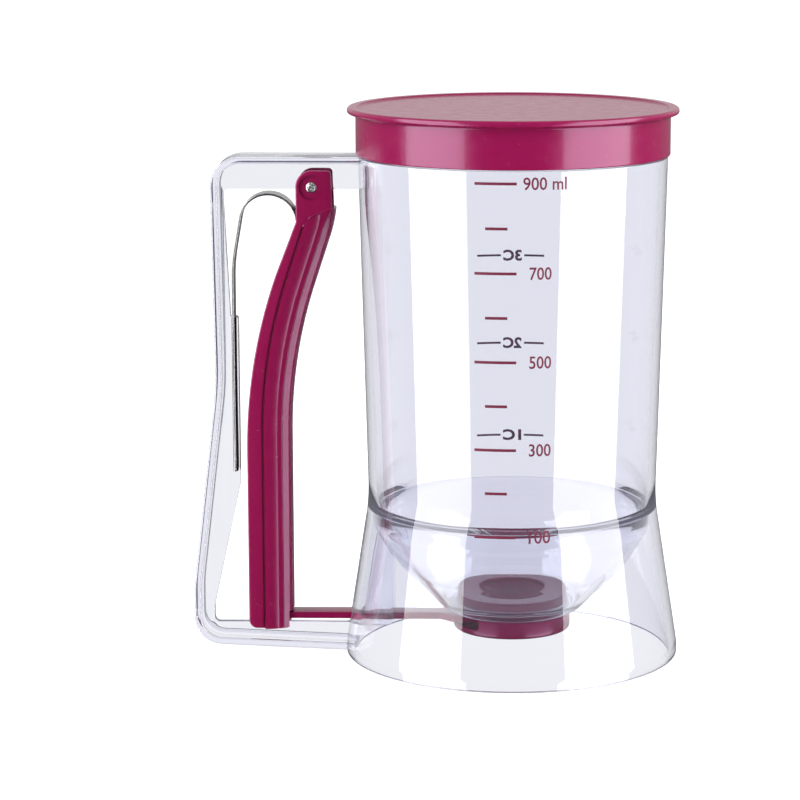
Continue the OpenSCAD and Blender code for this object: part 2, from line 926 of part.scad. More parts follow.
// Line of the leaf, moved by d towards the inside of its arch
function leaf_line(d) = concat(
    [[leaf_x + d, leaf_low_z]],
    arc([leaf_x + leaf_bend, lean_low_z - leaf_bend * tan(leaf_lean / 2)], leaf_bend - d,
        180, 180 - leaf_lean),
    arc([arch_x, arch_z], arch_r - d, 180 - leaf_lean, arch_end),
    [arch_tip - d * [cos(arch_end), sin(arch_end)] + tail * [sin(arch_end), -cos(arch_end)]]
);

module return_spring() {
    color("gray")
        side_plate(leaf_w)
            polygon(concat(leaf_line(leaf_t / 2), reversed(leaf_line(-leaf_t / 2))));
}

// Lid

module lid() {
    under_z = jug_h + lid_seat_gap;
    top_z = under_z + lid_t;
    in_r = neck_r + lid_gap;
    out_r = in_r + lid_skirt_t;
    low_z = shoulder_z + 2 * lid_seat_gap;
    brim_r = out_r + lid_brim;
    color(magenta)
        rotate_extrude()
            polygon(rounded([
                [0, under_z, 0],
                [in_r, under_z, 0.4],
                [in_r, low_z, 0.3],
                [out_r, low_z, 0.4],
                [out_r, under_z, 0.8],
                [brim_r, under_z, 0.6],
                [brim_r, top_z, 1],
                [brim_r - lid_bead, top_z, 0.8],
                [brim_r - lid_bead - lid_dish, top_z - lid_dish, 0.6],
                [0, top_z - lid_dish, 0]
            ]));
}

jug_wall();
hopper();
handle_frame();
lid();
trigger_lever();
pivot_pin();
return_spring();
valve_gate();
seat_ring();
valve_cup();
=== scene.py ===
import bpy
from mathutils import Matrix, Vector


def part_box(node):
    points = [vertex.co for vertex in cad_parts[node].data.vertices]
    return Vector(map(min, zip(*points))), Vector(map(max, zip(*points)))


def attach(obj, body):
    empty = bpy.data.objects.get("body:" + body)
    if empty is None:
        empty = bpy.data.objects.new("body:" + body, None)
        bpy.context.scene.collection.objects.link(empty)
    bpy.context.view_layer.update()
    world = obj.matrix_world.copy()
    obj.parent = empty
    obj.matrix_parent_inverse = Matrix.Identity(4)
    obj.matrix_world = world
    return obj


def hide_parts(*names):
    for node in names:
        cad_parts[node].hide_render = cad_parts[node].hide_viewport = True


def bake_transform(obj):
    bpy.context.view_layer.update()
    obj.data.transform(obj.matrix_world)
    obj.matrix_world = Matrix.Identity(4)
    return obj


bl_info = {
    "name": "Batter Dispenser",
    "version": (1, 0, 0),
    "blender": (4, 5, 0),
    "location": "View3D > Sidebar > Dispenser",
    "description": "Clear batter dispenser with a magenta lid, trigger lever and sliding gate",
    "category": "Add Mesh",
}

import math

import bmesh
import bpy
import numpy as np
from bpy.props import FloatProperty, FloatVectorProperty, PointerProperty

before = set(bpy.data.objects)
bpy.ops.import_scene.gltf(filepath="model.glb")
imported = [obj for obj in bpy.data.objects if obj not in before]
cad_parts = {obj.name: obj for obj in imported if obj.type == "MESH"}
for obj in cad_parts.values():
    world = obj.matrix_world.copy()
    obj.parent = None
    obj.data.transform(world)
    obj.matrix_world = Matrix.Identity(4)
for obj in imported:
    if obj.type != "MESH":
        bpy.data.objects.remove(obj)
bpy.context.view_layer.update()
MM = 0.001
FINE = 1e-6

# Lowest and highest corners of the nodes that the sizes come from
JUG_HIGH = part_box("jug_wall")[1]
HOPPER_LOW, HOPPER_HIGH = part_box("hopper")
HANDLE_LOW, HANDLE_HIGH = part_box("handle_frame")
LID_LOW, LID_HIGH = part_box("lid")
LEVER_LOW, LEVER_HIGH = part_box("trigger_lever")
PIN_LOW, PIN_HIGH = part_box("pivot_pin")
SPRING_LOW, SPRING_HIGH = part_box("return_spring")
GATE_LOW, GATE_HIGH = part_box("valve_gate")
SEAT_LOW, SEAT_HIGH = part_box("seat_ring")
CUP_LOW, CUP_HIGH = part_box("valve_cup")


# Properties

def length(name, description, default):
    """Property for a length in metres."""
    return FloatProperty(name=name, description=description, default=default, unit="LENGTH", precision=5)


def turn(name, description, default):
    """Property for an angle, given here in degrees."""
    return FloatProperty(name=name, description=description, default=math.radians(default), subtype="ANGLE")


def share(name, description, default):
    """Property for a plain number from 0 up."""
    return FloatProperty(name=name, description=description, default=default, min=0, subtype="FACTOR")


def per_metre(name, description, default):
    """Property for a measure that adds up with the depth, per metre."""
    return FloatProperty(name=name, description=description, default=default, min=0)


def tint(name, description, default):
    """Property for a colour."""
    return FloatVectorProperty(name=name, description=description, default=default,
                               size=3, min=0, max=1, subtype="COLOR")


class JugSizes(bpy.types.PropertyGroup):
    """Sizes of the clear jug, its skirt and its hopper."""
    rim_z: length("Rim height", "Height of the jug's rim", JUG_HIGH.z)
    shoulder_z: length("Shoulder height", "Height of the step under the lid", JUG_HIGH.z - 14.4 * MM)
    shoulder_r: length("Shoulder radius", "Outer radius just under the lid", 53.3 * MM)
    neck_step: length("Neck step", "Step from the shoulder in to the neck", 1.1 * MM)
    neck_wall: length("Neck wall", "Thickness of the neck", 1.6 * MM)
    waist_r: length("Waist radius", "Outer radius at the waist", 50.2 * MM)
    waist_z: length("Waist height", "Height of the waist", HOPPER_HIGH.z + 2.9 * MM)
    waist_bend: length("Waist bend", "Radius of the bend at the waist", 67 * MM)
    foot_r: length("Foot radius", "Outer radius of the foot", JUG_HIGH.x)
    foot_h: length("Foot height", "Height of the foot's upright band", 3.5 * MM)
    foot_bend: length("Foot bend", "Radius of the bend over the foot", 8 * MM)
    wall: length("Wall", "Thickness of the wall and the skirt", 2.7 * MM)
    bowl_r: length("Bowl radius", "Outer radius at the top of the hopper's bowl", 47.7 * MM)
    bowl_wall: length("Bowl wall", "Thickness of the hopper's bowl", 2.3 * MM)
    bowl_bend: length("Bowl bend", "Outer radius at the bend between the bowl's two cones", 40.2 * MM)
    bowl_lean: turn("Bowl slope", "Slope of the bowl's lower cone", 45.5)
    bowl_rise: turn("Bowl upper slope", "Slope of the bowl's upper cone", 60)
    collar_r: length("Collar radius", "Outer radius of the collar", 21.45 * MM)
    collar_bore: length("Collar bore", "Radius of the collar's bore", 19.55 * MM)
    bowl_flat: length("Bowl flat", "Width of the flat ring under the bowl past the collar", 2.3 * MM)
    guide_t: length("Guide thickness", "Thickness of the panels beside the bar", 1.5 * MM)
    guide_x: length("Guide reach", "Where the guide panels end inside", -41.6 * MM)
    slot_w: length("Slot width", "Width of the slot for the bar", 9.2 * MM)
    gap: length("Gap", "Small gap between pieces that are put together", 0.2 * MM)


class HandleSizes(bpy.types.PropertyGroup):
    """Sizes of the loop handle."""
    grip_x: length("Grip", "Outside of the grip at its top", -104.1 * MM)
    foot_x: length("Grip foot", "Outside of the grip at its foot", HANDLE_LOW.x)
    flange_w: length("Flange width", "Width of the flange", HANDLE_HIGH.y - HANDLE_LOW.y)
    flange_t: length("Flange thickness", "Thickness of the flange", 2.6 * MM)
    web_t: length("Web thickness", "Thickness of the web", 3 * MM)
    arm_d: length("Arm depth", "Depth of the upper arm", 11.8 * MM)
    low_z: length("Foot height", "Underside of the lower arm at the grip", 3.2 * MM)
    end_z: length("Arm end", "Underside of the lower arm at the skirt", 0.95 * MM)
    corner_r: length("Corner", "Outer radius of the upper corner", 10.5 * MM)


class LeverSizes(bpy.types.PropertyGroup):
    """Sizes of the trigger lever, its pin and its spring."""
    pivot_x: length("Pivot x", "Place of the pivot", (PIN_LOW.x + PIN_HIGH.x) / 2)
    pivot_z: length("Pivot z", "Height of the pivot", (PIN_LOW.z + PIN_HIGH.z) / 2)
    pin_r: length("Pin radius", "Radius of the pin", (PIN_HIGH.x - PIN_LOW.x) / 2)
    body_w: length("Body width", "Width of the finger side", LEVER_HIGH.y - LEVER_LOW.y)
    ear_w: length("Ear width", "Width over the ears", 12.8 * MM)
    channel_w: length("Channel", "Width of the channel inside", 10.4 * MM)
    finger_wall: length("Finger wall", "Thickness of the finger side", 2.2 * MM)
    bulge: length("Bulge", "How far the sides swell from the finger side back", 2.8 * MM)
    depth: length("Depth", "Depth at the foot, front to back", 15.4 * MM)
    lean: turn("Lean", "Lean of the upper part", 18.2)
    bend: length("Bend", "Radius of the bend in the finger side", 166 * MM)
    nose: length("Nose bend", "Radius in which the finger side ends upright again", 45 * MM)
    front_set: length("Front set", "Distance from the pivot back to the upright finger side", 7.8 * MM)
    rib_back: length("Rib distance", "Distance from the pivot back to the ribs in the foot", 15.3 * MM)
    rib_t: length("Rib thickness", "Thickness of the ribs that catch the bar", 2.4 * MM)
    clamp_drop: length("Clamp drop", "Height of the pivot over the strip that clamps the spring", 45.4 * MM)
    leaf_w: length("Leaf width", "Width of the spring leaf", SPRING_HIGH.y - SPRING_LOW.y)
    leaf_t: length("Leaf thickness", "Thickness of the spring leaf", 0.8 * MM)


class ValveSizes(bpy.types.PropertyGroup):
    """Sizes of the gate, the seat ring and the cup."""
    gate_r: length("Gate radius", "Radius of the gate's round plate", 12 * MM)
    bar_t: length("Bar thickness", "Thickness of the gate's bar", 2.3 * MM)
    bar_w: length("Bar width", "Width of the bar behind the cup", 7.5 * MM)
    seat_hub: length("Seat hub", "Outer radius of the seat ring under its flange", 17.25 * MM)
    seat_bore: length("Seat bore", "Radius of the seat ring's lower opening", 9.6 * MM)
    seat_mouth: length("Seat mouth", "Radius of the seat ring's upper opening", 11.7 * MM)
    cup_bore: length("Cup bore", "Inner radius of the cup", 17.45 * MM)
    cup_floor: length("Cup floor", "Thickness of the cup's floor", 2.3 * MM)
    cup_neck: length("Cup neck", "Height of the cup's part inside the collar", 2.5 * MM)
    window: length("Window", "Half the width of the cup's window for the bar", 16.9 * MM)
    outlet_r: length("Outlet", "Radius of the outlet in the cup's floor", 9.5 * MM)


class Finishes(bpy.types.PropertyGroup):
    """Colours and gloss of the dispenser's plastics and steel."""
    magenta: tint("Magenta", "Colour of the magenta plastic", (0.215, 0.0025, 0.05))
    magenta_rough: share("Magenta roughness", "Roughness of the magenta plastic", 0.24)
    clear: tint("Clear", "Tint of the clear plastic", (0.95, 0.955, 1.0))
    clear_rough: share("Clear roughness", "Roughness of the clear plastic", 0.0)
    clear_ior: share("Clear index", "Refractive index of the clear plastic", 1.57)
    smoke: tint("Smoke", "Colour that thick clear plastic takes", (0.60, 0.60, 0.74))
    smoke_depth: per_metre("Smoke density", "Density of that colour", 22)
    # Painted glow: strength of an emission inside the clear plastic that stands in for light scattered in it.
    painted_glow: per_metre("Haze", "Light that the thick plastic scatters", 6)
    ink: tint("Ink", "Colour of the printed scale", (0.13, 0.004, 0.03))
    steel: tint("Steel", "Colour of the spring and the pin", (0.56, 0.55, 0.54))


# Outlines

def arc(centre, radius, start, end, chord=1.2 * MM):
    """Points of an arc about a centre, from one angle to another in degrees, in equal steps."""
    sweep = math.radians(abs(end - start))
    steps = max(3, math.ceil(sweep / math.radians(6)), math.ceil(sweep * radius / chord))
    t = np.radians(np.linspace(start, end, steps + 1))
    return np.asarray(centre, float) + radius * np.column_stack([np.cos(t), np.sin(t)])


def unit(v):
    """The vector, or each row of an array, at length 1. One without length stays as it is."""
    size = np.linalg.norm(v, axis=-1, keepdims=True)
    return v / np.where(size > 0, size, 1)


def rounded(corners, closed=True, hold=0.12 * MM):
    """Outline through corners (x, y, radius). Each corner with a radius becomes the arc that touches
    both of its sides, its centre on the bisector, and gets one more point just outside either end, so
    that shading stays on it."""
    c = np.asarray(corners, float)
    p, r = c[:, :2], c[:, 2].copy()
    if not closed:
        r[[0, -1]] = 0
    v = unit(np.roll(p, -1, axis=0) - p)
    u = -np.roll(v, 1, axis=0)
    half = np.arccos(np.clip((u * v).sum(1), -1, 1)) / 2
    reach = r / np.tan(half)
    centre = p + unit(u + v) * (r / np.sin(half))[:, None]
    parts = []
    for i in range(len(c)):
        if r[i] <= 0:
            parts.append(p[i:i + 1])
            continue
        a, b = p[i] + u[i] * reach[i] - centre[i], p[i] + v[i] * reach[i] - centre[i]
        start = math.degrees(math.atan2(a[1], a[0]))
        sweep = (math.degrees(math.atan2(b[1], b[0])) - start + 180) % 360 - 180
        parts += [p[i:i + 1] + u[i] * (reach[i] + hold), arc(centre[i], r[i], start, start + sweep),
                  p[i:i + 1] + v[i] * (reach[i] + hold)]
    return np.vstack(parts)


def block(low, high, edge):
    """Outline of a rectangle between two corners, with rounded corners."""
    (a, b), (c, d) = low, high
    return rounded([(a, b, edge), (c, b, edge), (c, d, edge), (a, d, edge)])


def span(side, inner, outer):
    """Ends, low one first, of the stretch from inner to outer on one side of the middle plane."""
    return sorted([side * inner, side * outer])


def moved_in(outline, d):
    """Closed outline, counter-clockwise, with each point moved inwards along the mitre of its sides."""
    before = unit(outline - np.roll(outline, 1, axis=0))
    after = np.roll(before, -1, axis=0)
    m = np.column_stack([-before[:, 1], before[:, 0]])
    k = np.column_stack([-after[:, 1], after[:, 0]])
    return outline + d * (m + k) / (1 + (m * k).sum(1))[:, None]


# Solids

def quads(rows, columns, loop_rows, loop_columns):
    """Faces of a grid of points, rows by columns, closed on itself where a loop is asked for."""
    i = np.arange(rows if loop_rows else rows - 1)
    j = np.arange(columns if loop_columns else columns - 1)
    i, j = [g.ravel() for g in np.meshgrid(i, j, indexing="ij")]
    i2, j2 = (i + 1) % rows, (j + 1) % columns
    return np.column_stack([i * columns + j, i2 * columns + j, i2 * columns + j2, i * columns + j2])


def placed(name, data):
    """Object of a mesh, curve, lamp or camera, in the scene."""
    made = bpy.data.objects.new(name, data)
    bpy.context.scene.collection.objects.link(made)
    return made


def frozen(piece):
    """Mesh of the object as it stands, with its modifiers."""
    bpy.context.view_layer.update()
    return bpy.data.meshes.new_from_object(piece.evaluated_get(bpy.context.evaluated_depsgraph_get()))


def meshed(name, points, faces, turned_out):
    """Mesh object of the faces, its doubles merged, after turned_out has set how its faces lie."""
    mesh = bpy.data.meshes.new(name)
    mesh.from_pydata(np.asarray(points, float).reshape(-1, 3).tolist(), [], faces)
    work = bmesh.new()
    work.from_mesh(mesh)
    bmesh.ops.remove_doubles(work, verts=work.verts, dist=FINE)
    turned_out(work)
    work.to_mesh(mesh)
    work.free()
    return placed(name, mesh)


def solid(name, points, faces, caps=()):
    """Closed solid, with its faces turned outwards. Caps are flat many-sided faces."""
    def turned_out(work):
        for f in work.faces:
            f.smooth = len(f.verts) <= 4
        if work.calc_volume(signed=True) < 0:
            bmesh.ops.reverse_faces(work, faces=work.faces)

    return meshed(name, points, faces.tolist() + [list(map(int, c)) for c in caps], turned_out)


def turned(name, outline, sides=240):
    """Solid of revolution: the outline (radius, height) carried round Z, x = r cos a, y = r sin a.
    An outline that starts and ends on the axis is closed there by one point each."""
    a = np.linspace(0, 2 * math.pi, sides, endpoint=False)[:, None]
    r, z = outline[:, 0], outline[:, 1]
    points = np.stack([r * np.cos(a), r * np.sin(a), z + 0 * a], axis=2)
    on_axis = r[0] < FINE and r[-1] < FINE
    return solid(name, points, quads(sides, len(outline), True, not on_axis))


def swept(name, rows):
    """Solid through closed rows of points, all of one length, with a cap on the first and the last."""
    count, n = rows.shape[:2]
    last = (count - 1) * n
    return solid(name, rows, quads(count, n, False, True), [range(n), range(last + n - 1, last - 1, -1)])


def upright(outline, y):
    """Outline (x, z) at depth y."""
    return np.column_stack([outline[:, 0], np.full(len(outline), y), outline[:, 1]])


def level(outline, z):
    """Outline (x, y) at height z."""
    return np.column_stack([outline, np.full(len(outline), z)])


def plate(name, outline, low, high, edge=0.3 * MM, place=upright):
    """Flat solid of a counter-clockwise outline from low to high. Its edges are quarter rounds: rows of
    the outline moved in by edge (1 - sin t) at a depth of edge (1 - cos t)."""
    t = np.radians(np.linspace(0, 90, 5))
    inset = edge * (1 - np.sin(t))
    depth = edge * (1 - np.cos(t))
    near = [place(moved_in(outline, d), low + h) for d, h in zip(inset, depth)]
    far = [place(moved_in(outline, d), high - h) for d, h in zip(inset, depth)]
    return swept(name, np.stack(near + far[::-1]))


def box_plate(name, low, high, edge=0.2 * MM):
    """Box between two corners, with its upright edges rounded."""
    (x0, y0, z0), (x1, y1, z1) = low, high
    return plate(name, block((x0, z0), (x1, z1), edge), y0, y1, edge / 2)


def carried(name, line, section):
    """Solid of a closed section (depth, across) carried along a line (x, z): each row is the line's
    point plus depth times the normal on the line's left, with across along Y."""
    part = unit(np.diff(line, axis=0))
    step = unit(np.vstack([part[:1], part[1:] + part[:-1], part[-1:]]))
    left = np.column_stack([-step[:, 1], step[:, 0]])
    flat = line[:, None, :] + section[None, :, :1] * left[:, None, :]
    across = np.broadcast_to(section[None, :, 1], flat.shape[:2])
    return swept(name, np.stack([flat[:, :, 0], across, flat[:, :, 1]], axis=2))


def rod(name, x, z, outline, sides=64):
    """Solid of revolution about the line through (x, z) along Y, from an outline (radius, y)."""
    a = np.linspace(0, 2 * math.pi, sides, endpoint=False)[:, None]
    r, y = outline[:, 0], outline[:, 1]
    points = np.stack([x + r * np.cos(a), y + 0 * a, z + r * np.sin(a)], axis=2)
    return solid(name, points, quads(sides, len(outline), True, False))


def bar_rod(name, x, z, radius, low, high):
    """Plain rod along Y from low to high, its ends closed on the axis."""
    return rod(name, x, z, np.array([[0, low], [radius, low], [radius, high], [0, high]]))


def worked(piece, tools, operation):
    """The piece with the tools joined to it or cut from it. The tools are used up."""
    for tool in tools:
        step = piece.modifiers.new(tool.name, "BOOLEAN")
        step.operation = operation
        step.solver = "MANIFOLD"
        step.object = tool
    done = frozen(piece)
    if len(done.polygons) in (0, len(piece.data.polygons)):
        raise RuntimeError(f"{piece.name}: {operation} left nothing or changed nothing")
    piece.modifiers.clear()
    piece.data = done
    for tool in tools:
        bpy.data.objects.remove(tool)
    return piece


def finished(piece, name, body, material, nodes=()):
    """Names the piece, gives it its material and smooth shading, hides the nodes that it stands for and hangs
    it on the body that it rides on, if it rides on one alone."""
    piece.name = piece.data.name = name
    piece.data.materials.clear()
    piece.data.materials.append(material)
    piece.data.set_sharp_from_angle(angle=math.radians(32))
    if body:
        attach(piece, body)
    if nodes:
        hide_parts(*nodes)


# Materials

def link(tree, source, target):
    """Joins an output to an input."""
    tree.links.new(source, target)


def filled(node, **values):
    """The node, with the values set on its own inputs. An underscore stands for the space in a name."""
    for name, value in values.items():
        node.inputs[name.replace("_", " ")].default_value = value
    return node


def added(tree, kind, **values):
    """New shader node of that kind, with the values set on its inputs."""
    return filled(tree.nodes.new(f"ShaderNode{kind}"), **values)


def noise(tree, scale, detail=3.0, stretch=(1, 1, 1)):
    """Noise over the piece's own coordinates, in cycles per metre."""
    where = added(tree, "TexCoord")
    mapping = added(tree, "Mapping", Scale=stretch)
    grain = added(tree, "TexNoise", Scale=scale, Detail=detail)
    link(tree, where.outputs["Object"], mapping.inputs["Vector"])
    link(tree, mapping.outputs["Vector"], grain.inputs["Vector"])
    return grain.outputs["Fac"]


def ramp(tree, value, source, target):
    """The value with one range spread over another."""
    node = added(tree, "MapRange", From_Min=source[0], From_Max=source[1], To_Min=target[0], To_Max=target[1])
    link(tree, value, node.inputs["Value"])
    return node.outputs["Result"]


def two_tone(tree, value, colour, depth):
    """The colour, darker by depth where the value is low."""
    node = tree.nodes.new("ShaderNodeMix")
    node.data_type = "RGBA"
    node.inputs["A"].default_value = (*[c * (1 - depth) for c in colour], 1)
    node.inputs["B"].default_value = (*colour, 1)
    link(tree, value, node.inputs["Factor"])
    return node.outputs["Result"]


def raised(tree, value, shader, strength, distance):
    """Bump of the value on the shader."""
    bump = added(tree, "Bump", Strength=strength, Distance=distance)
    link(tree, value, bump.inputs["Height"])
    link(tree, bump.outputs["Normal"], shader.inputs["Normal"])


def look(name, build, *settings):
    """Material of that name. On its first use, build makes it from its node tree, its principled shader,
    the finishes and the settings."""
    material = bpy.data.materials.get(name)
    if not material:
        material = bpy.data.materials.new(name)
        material.use_nodes = True
        tree = material.node_tree
        build(tree, tree.nodes["Principled BSDF"], bpy.context.scene.dispenser_finishes, *settings)
    return material


def magenta_plastic(tree, shader, finish):
    """Glossy moulded plastic: faint clouds in the colour, uneven gloss and a fine orange peel."""
    rough = finish.magenta_rough
    clouds = two_tone(tree, noise(tree, 60), finish.magenta, 0.06)
    gloss = ramp(tree, noise(tree, 240), (0.3, 0.7), (rough * 0.85, rough * 1.15))
    link(tree, clouds, shader.inputs["Base Color"])
    link(tree, gloss, shader.inputs["Roughness"])
    raised(tree, noise(tree, 900, 2), shader, 0.05, 0.2 * MM)
    filled(shader, IOR=1.5, Specular_Tint=(0.9, 0.65, 1, 1), Coat_Weight=0.25, Coat_Roughness=0.08)


def clear_plastic(tree, shader, finish):
    """Clear moulded plastic: refracting, with faint flow waves, and in its depth a smoky lavender tint and
    a painted glow, an emission that stands in for light scattered in thick plastic."""
    link(tree, two_tone(tree, noise(tree, 20, 1), finish.clear, 0.01), shader.inputs["Base Color"])
    filled(shader, Roughness=finish.clear_rough, IOR=finish.clear_ior, Transmission_Weight=1)
    colour = (*finish.smoke, 1)
    smoke = added(tree, "VolumeAbsorption", Color=colour, Density=finish.smoke_depth)
    # Painted glow: the thick plastic emits light of the smoke colour, so that paths trapped inside it show
    # grey instead of dark.
    painted_glow = added(tree, "Emission", Color=colour, Strength=finish.painted_glow)
    both = added(tree, "AddShader")
    link(tree, smoke.outputs["Volume"], both.inputs[0])
    link(tree, painted_glow.outputs["Emission"], both.inputs[1])
    link(tree, both.outputs["Shader"], tree.nodes["Material Output"].inputs["Volume"])


def scale_ink(tree, shader, finish):
    """Flat screen-printed ink, a little uneven."""
    link(tree, two_tone(tree, noise(tree, 700), finish.ink, 0.12), shader.inputs["Base Color"])
    filled(shader, Roughness=0.5)


def drawn_steel(tree, shader, finish, rough, stretch, dents):
    """Steel with fine marks drawn out along it, and dents of the given depth."""
    marks = noise(tree, 500, 4, stretch)
    link(tree, two_tone(tree, marks, finish.steel, 0.25), shader.inputs["Base Color"])
    link(tree, ramp(tree, marks, (0.3, 0.7), (rough * 0.7, rough * 1.3)), shader.inputs["Roughness"])
    raised(tree, marks, shader, 0.8, dents)
    filled(shader, Metallic=1)


# Jug

def jug_corners(s):
    """Corners (radius, height, round) of the jug's outer form, from the foot up to the shoulder."""
    return [(s.foot_r, 0, 0.6 * MM), (s.foot_r, s.foot_h, s.foot_bend),
            (s.waist_r, s.waist_z, s.waist_bend), (s.shoulder_r, s.shoulder_z, 0.25 * MM)]


def skirt_r_at(s, z):
    """Inner radius of the skirt at height z, on its straight slope."""
    return s.waist_r - s.wall + (s.waist_z - z) * (s.foot_r - s.waist_r) / (s.waist_z - s.foot_h)


def bowl_corners(s, d=0.0):
    """Corners (radius, height, round) of the bowl's outer line, moved in by d: the flat ring's edge, and
    the bend between the two cones."""
    low = HOPPER_LOW.z + 1 * MM
    flat_r = s.collar_r + s.bowl_flat
    bend_z = low + (s.bowl_bend - flat_r) * math.tan(s.bowl_lean)
    moved = []
    for r, z, before, after, bend in ((flat_r, low, 0, s.bowl_lean, 4 * MM),
                                      (s.bowl_bend, bend_z, s.bowl_lean, s.bowl_rise, 40 * MM)):
        reach = d / math.cos((after - before) / 2)
        middle = (before + after) / 2
        moved.append((r - reach * math.sin(middle), z + reach * math.cos(middle), bend - d))
    return moved


def bowl_line(s, d=0.0):
    """Points of the bowl's line, moved in by d, from the flat ring up to the groove inside the skirt."""
    corners = bowl_corners(s, d)
    start, wide = (s.collar_r, corners[0][1], 0), s.bowl_r - d
    top_z = corners[1][1] + (wide - corners[1][0]) * math.tan(s.bowl_rise)
    return rounded([start] + corners + [(wide, top_z, 6 * MM), (wide, HOPPER_HIGH.z, 0)], closed=False)


def jug_section(s):
    """Section of the jug with its hopper: up the outside and over the neck, down the bore, down the
    bowl's two cones, round the collar and its inner ledge, up under the bowl, and down inside the skirt."""
    neck_r = s.shoulder_r - s.neck_step
    bore = s.waist_r - s.wall
    under = HOPPER_HIGH.z - s.gap
    flat, bend = bowl_corners(s)
    in_bend = bowl_corners(s, s.bowl_wall)[1]
    top_z = bend[1] + (s.bowl_r - bend[0]) * math.tan(s.bowl_rise)
    ledge_low, ledge_top = CUP_HIGH.z + s.gap, CUP_HIGH.z + 1.2 * MM
    ledge_r, floor_z = s.collar_bore - 2.1 * MM, CUP_HIGH.z + 2.3 * MM
    floor_r = in_bend[0] - (in_bend[1] - floor_z) / math.tan(s.bowl_lean)
    start = (s.foot_r - s.wall / 2, 0, 0)
    return rounded([start] + jug_corners(s) + [
        (neck_r, s.shoulder_z, 0.25 * MM),
        (neck_r, s.rim_z, 0.7 * MM),
        (neck_r - s.neck_wall, s.rim_z, 0.5 * MM),
        (neck_r - s.neck_wall, s.shoulder_z + 2 * MM, 3 * MM),
        (s.shoulder_r - s.wall, s.shoulder_z - 2 * MM, 3 * MM),
        (bore, under + 2.5 * MM, 2 * MM),
        (s.bowl_r - 2.1 * MM, under - 1.1 * MM, 6 * MM),
        (s.bowl_r - 2.84 * MM, top_z - 0.33 * MM, 4 * MM),
        in_bend,
        (floor_r, floor_z, 4 * MM),
        (s.collar_bore, floor_z, 0.4 * MM),
        (s.collar_bore, ledge_top, 0.1 * MM),
        (ledge_r, ledge_top, 0.1 * MM),
        (ledge_r, ledge_low, 0.1 * MM),
        (s.collar_bore, ledge_low, 0.1 * MM),
        (s.collar_bore, HOPPER_LOW.z, 0.3 * MM),
        (s.collar_r, HOPPER_LOW.z, 0.3 * MM),
        (s.collar_r, flat[1], 0.2 * MM),
        flat,
        bend,
        (s.bowl_r, top_z, 6 * MM),
        (s.bowl_r - 0.4 * MM, under, 0.15 * MM),
        (skirt_r_at(s, under), under, 0.15 * MM),
        (s.foot_r - s.wall, s.foot_h, s.foot_bend),
        (s.foot_r - s.wall, 0, 0.4 * MM),
        start], closed=False)[:-1]


def guide_panel(name, s, side):
    """Panel beside the bar, from inside the skirt's wall in under the bowl."""
    middle = s.slot_w / 2 + s.guide_t / 2
    low = GATE_HIGH.z - 4 * MM
    line = bowl_line(s, -0.3 * MM)
    line[:, 0] = np.sqrt(line[:, 0] ** 2 - middle ** 2)
    first, last = np.interp(-s.guide_x, line[:, 0], line[:, 1]), HOPPER_HIGH.z - 2 * MM
    kept = line[(line[:, 1] > first + 0.1 * MM) & (line[:, 1] < last - 0.1 * MM)] * (-1, 1)
    top = np.vstack([[(s.guide_x, first)], kept, [(kept[-1, 0], last)]])
    notch, notch_r, notch_z, notch_bend = s.guide_x - 9.3 * MM, 1.9 * MM, low + 2.9 * MM, 1.7 * MM
    corners = rounded([(-skirt_r_at(s, low) - s.wall / 2, low, 0),
                       (notch - notch_r, low, 0),
                       (notch - notch_r, notch_z, notch_bend),
                       (notch + notch_r, notch_z, notch_bend),
                       (notch + notch_r, low, 0),
                       (s.guide_x, low, 2 * MM),
                       (s.guide_x, top[0, 1] - 0.5 * MM, 0)], closed=False)
    end = [(-skirt_r_at(s, top[-1, 1]) - s.wall / 2, top[-1, 1])]
    outline = np.vstack([corners, top, end])
    return plate(name, outline, *span(side, s.slot_w / 2 + 0.02 * MM, s.slot_w / 2 + s.guide_t), 0.15 * MM)


def grip_corners(h, inner_top, inner_low, d=0.0):
    """Corners of the handle's outer line, moved in by d, from the shoulder round the grip to the foot."""
    j = bpy.context.scene.dispenser_jug
    waist = (h.grip_x + 1.1 * MM, 95 * MM)
    lean = (waist[0] - h.foot_x) / (waist[1] - 24 * MM)
    top = j.shoulder_z - 0.02 * MM - d
    return [(inner_top, top, 0),
            (h.grip_x + d, top, h.corner_r - d),
            (waist[0] + d, waist[1], 120 * MM),
            (h.foot_x + d, 24 * MM - lean * d / 2, 60 * MM),
            (h.foot_x + d, h.low_z + d, 10 * MM - d),
            (-j.foot_r, h.end_z + d, 0),
            (inner_low, h.end_z + d, 0)]


def handle_flange(name, h, inner_top, inner_low):
    """Flange of the handle: a rounded flat band carried along the handle's outer line."""
    line = rounded(grip_corners(h, inner_top, inner_low), closed=False)
    w = h.flange_w / 2
    return carried(name, line, block((0, -w), (h.flange_t, w), 0.7 * MM))


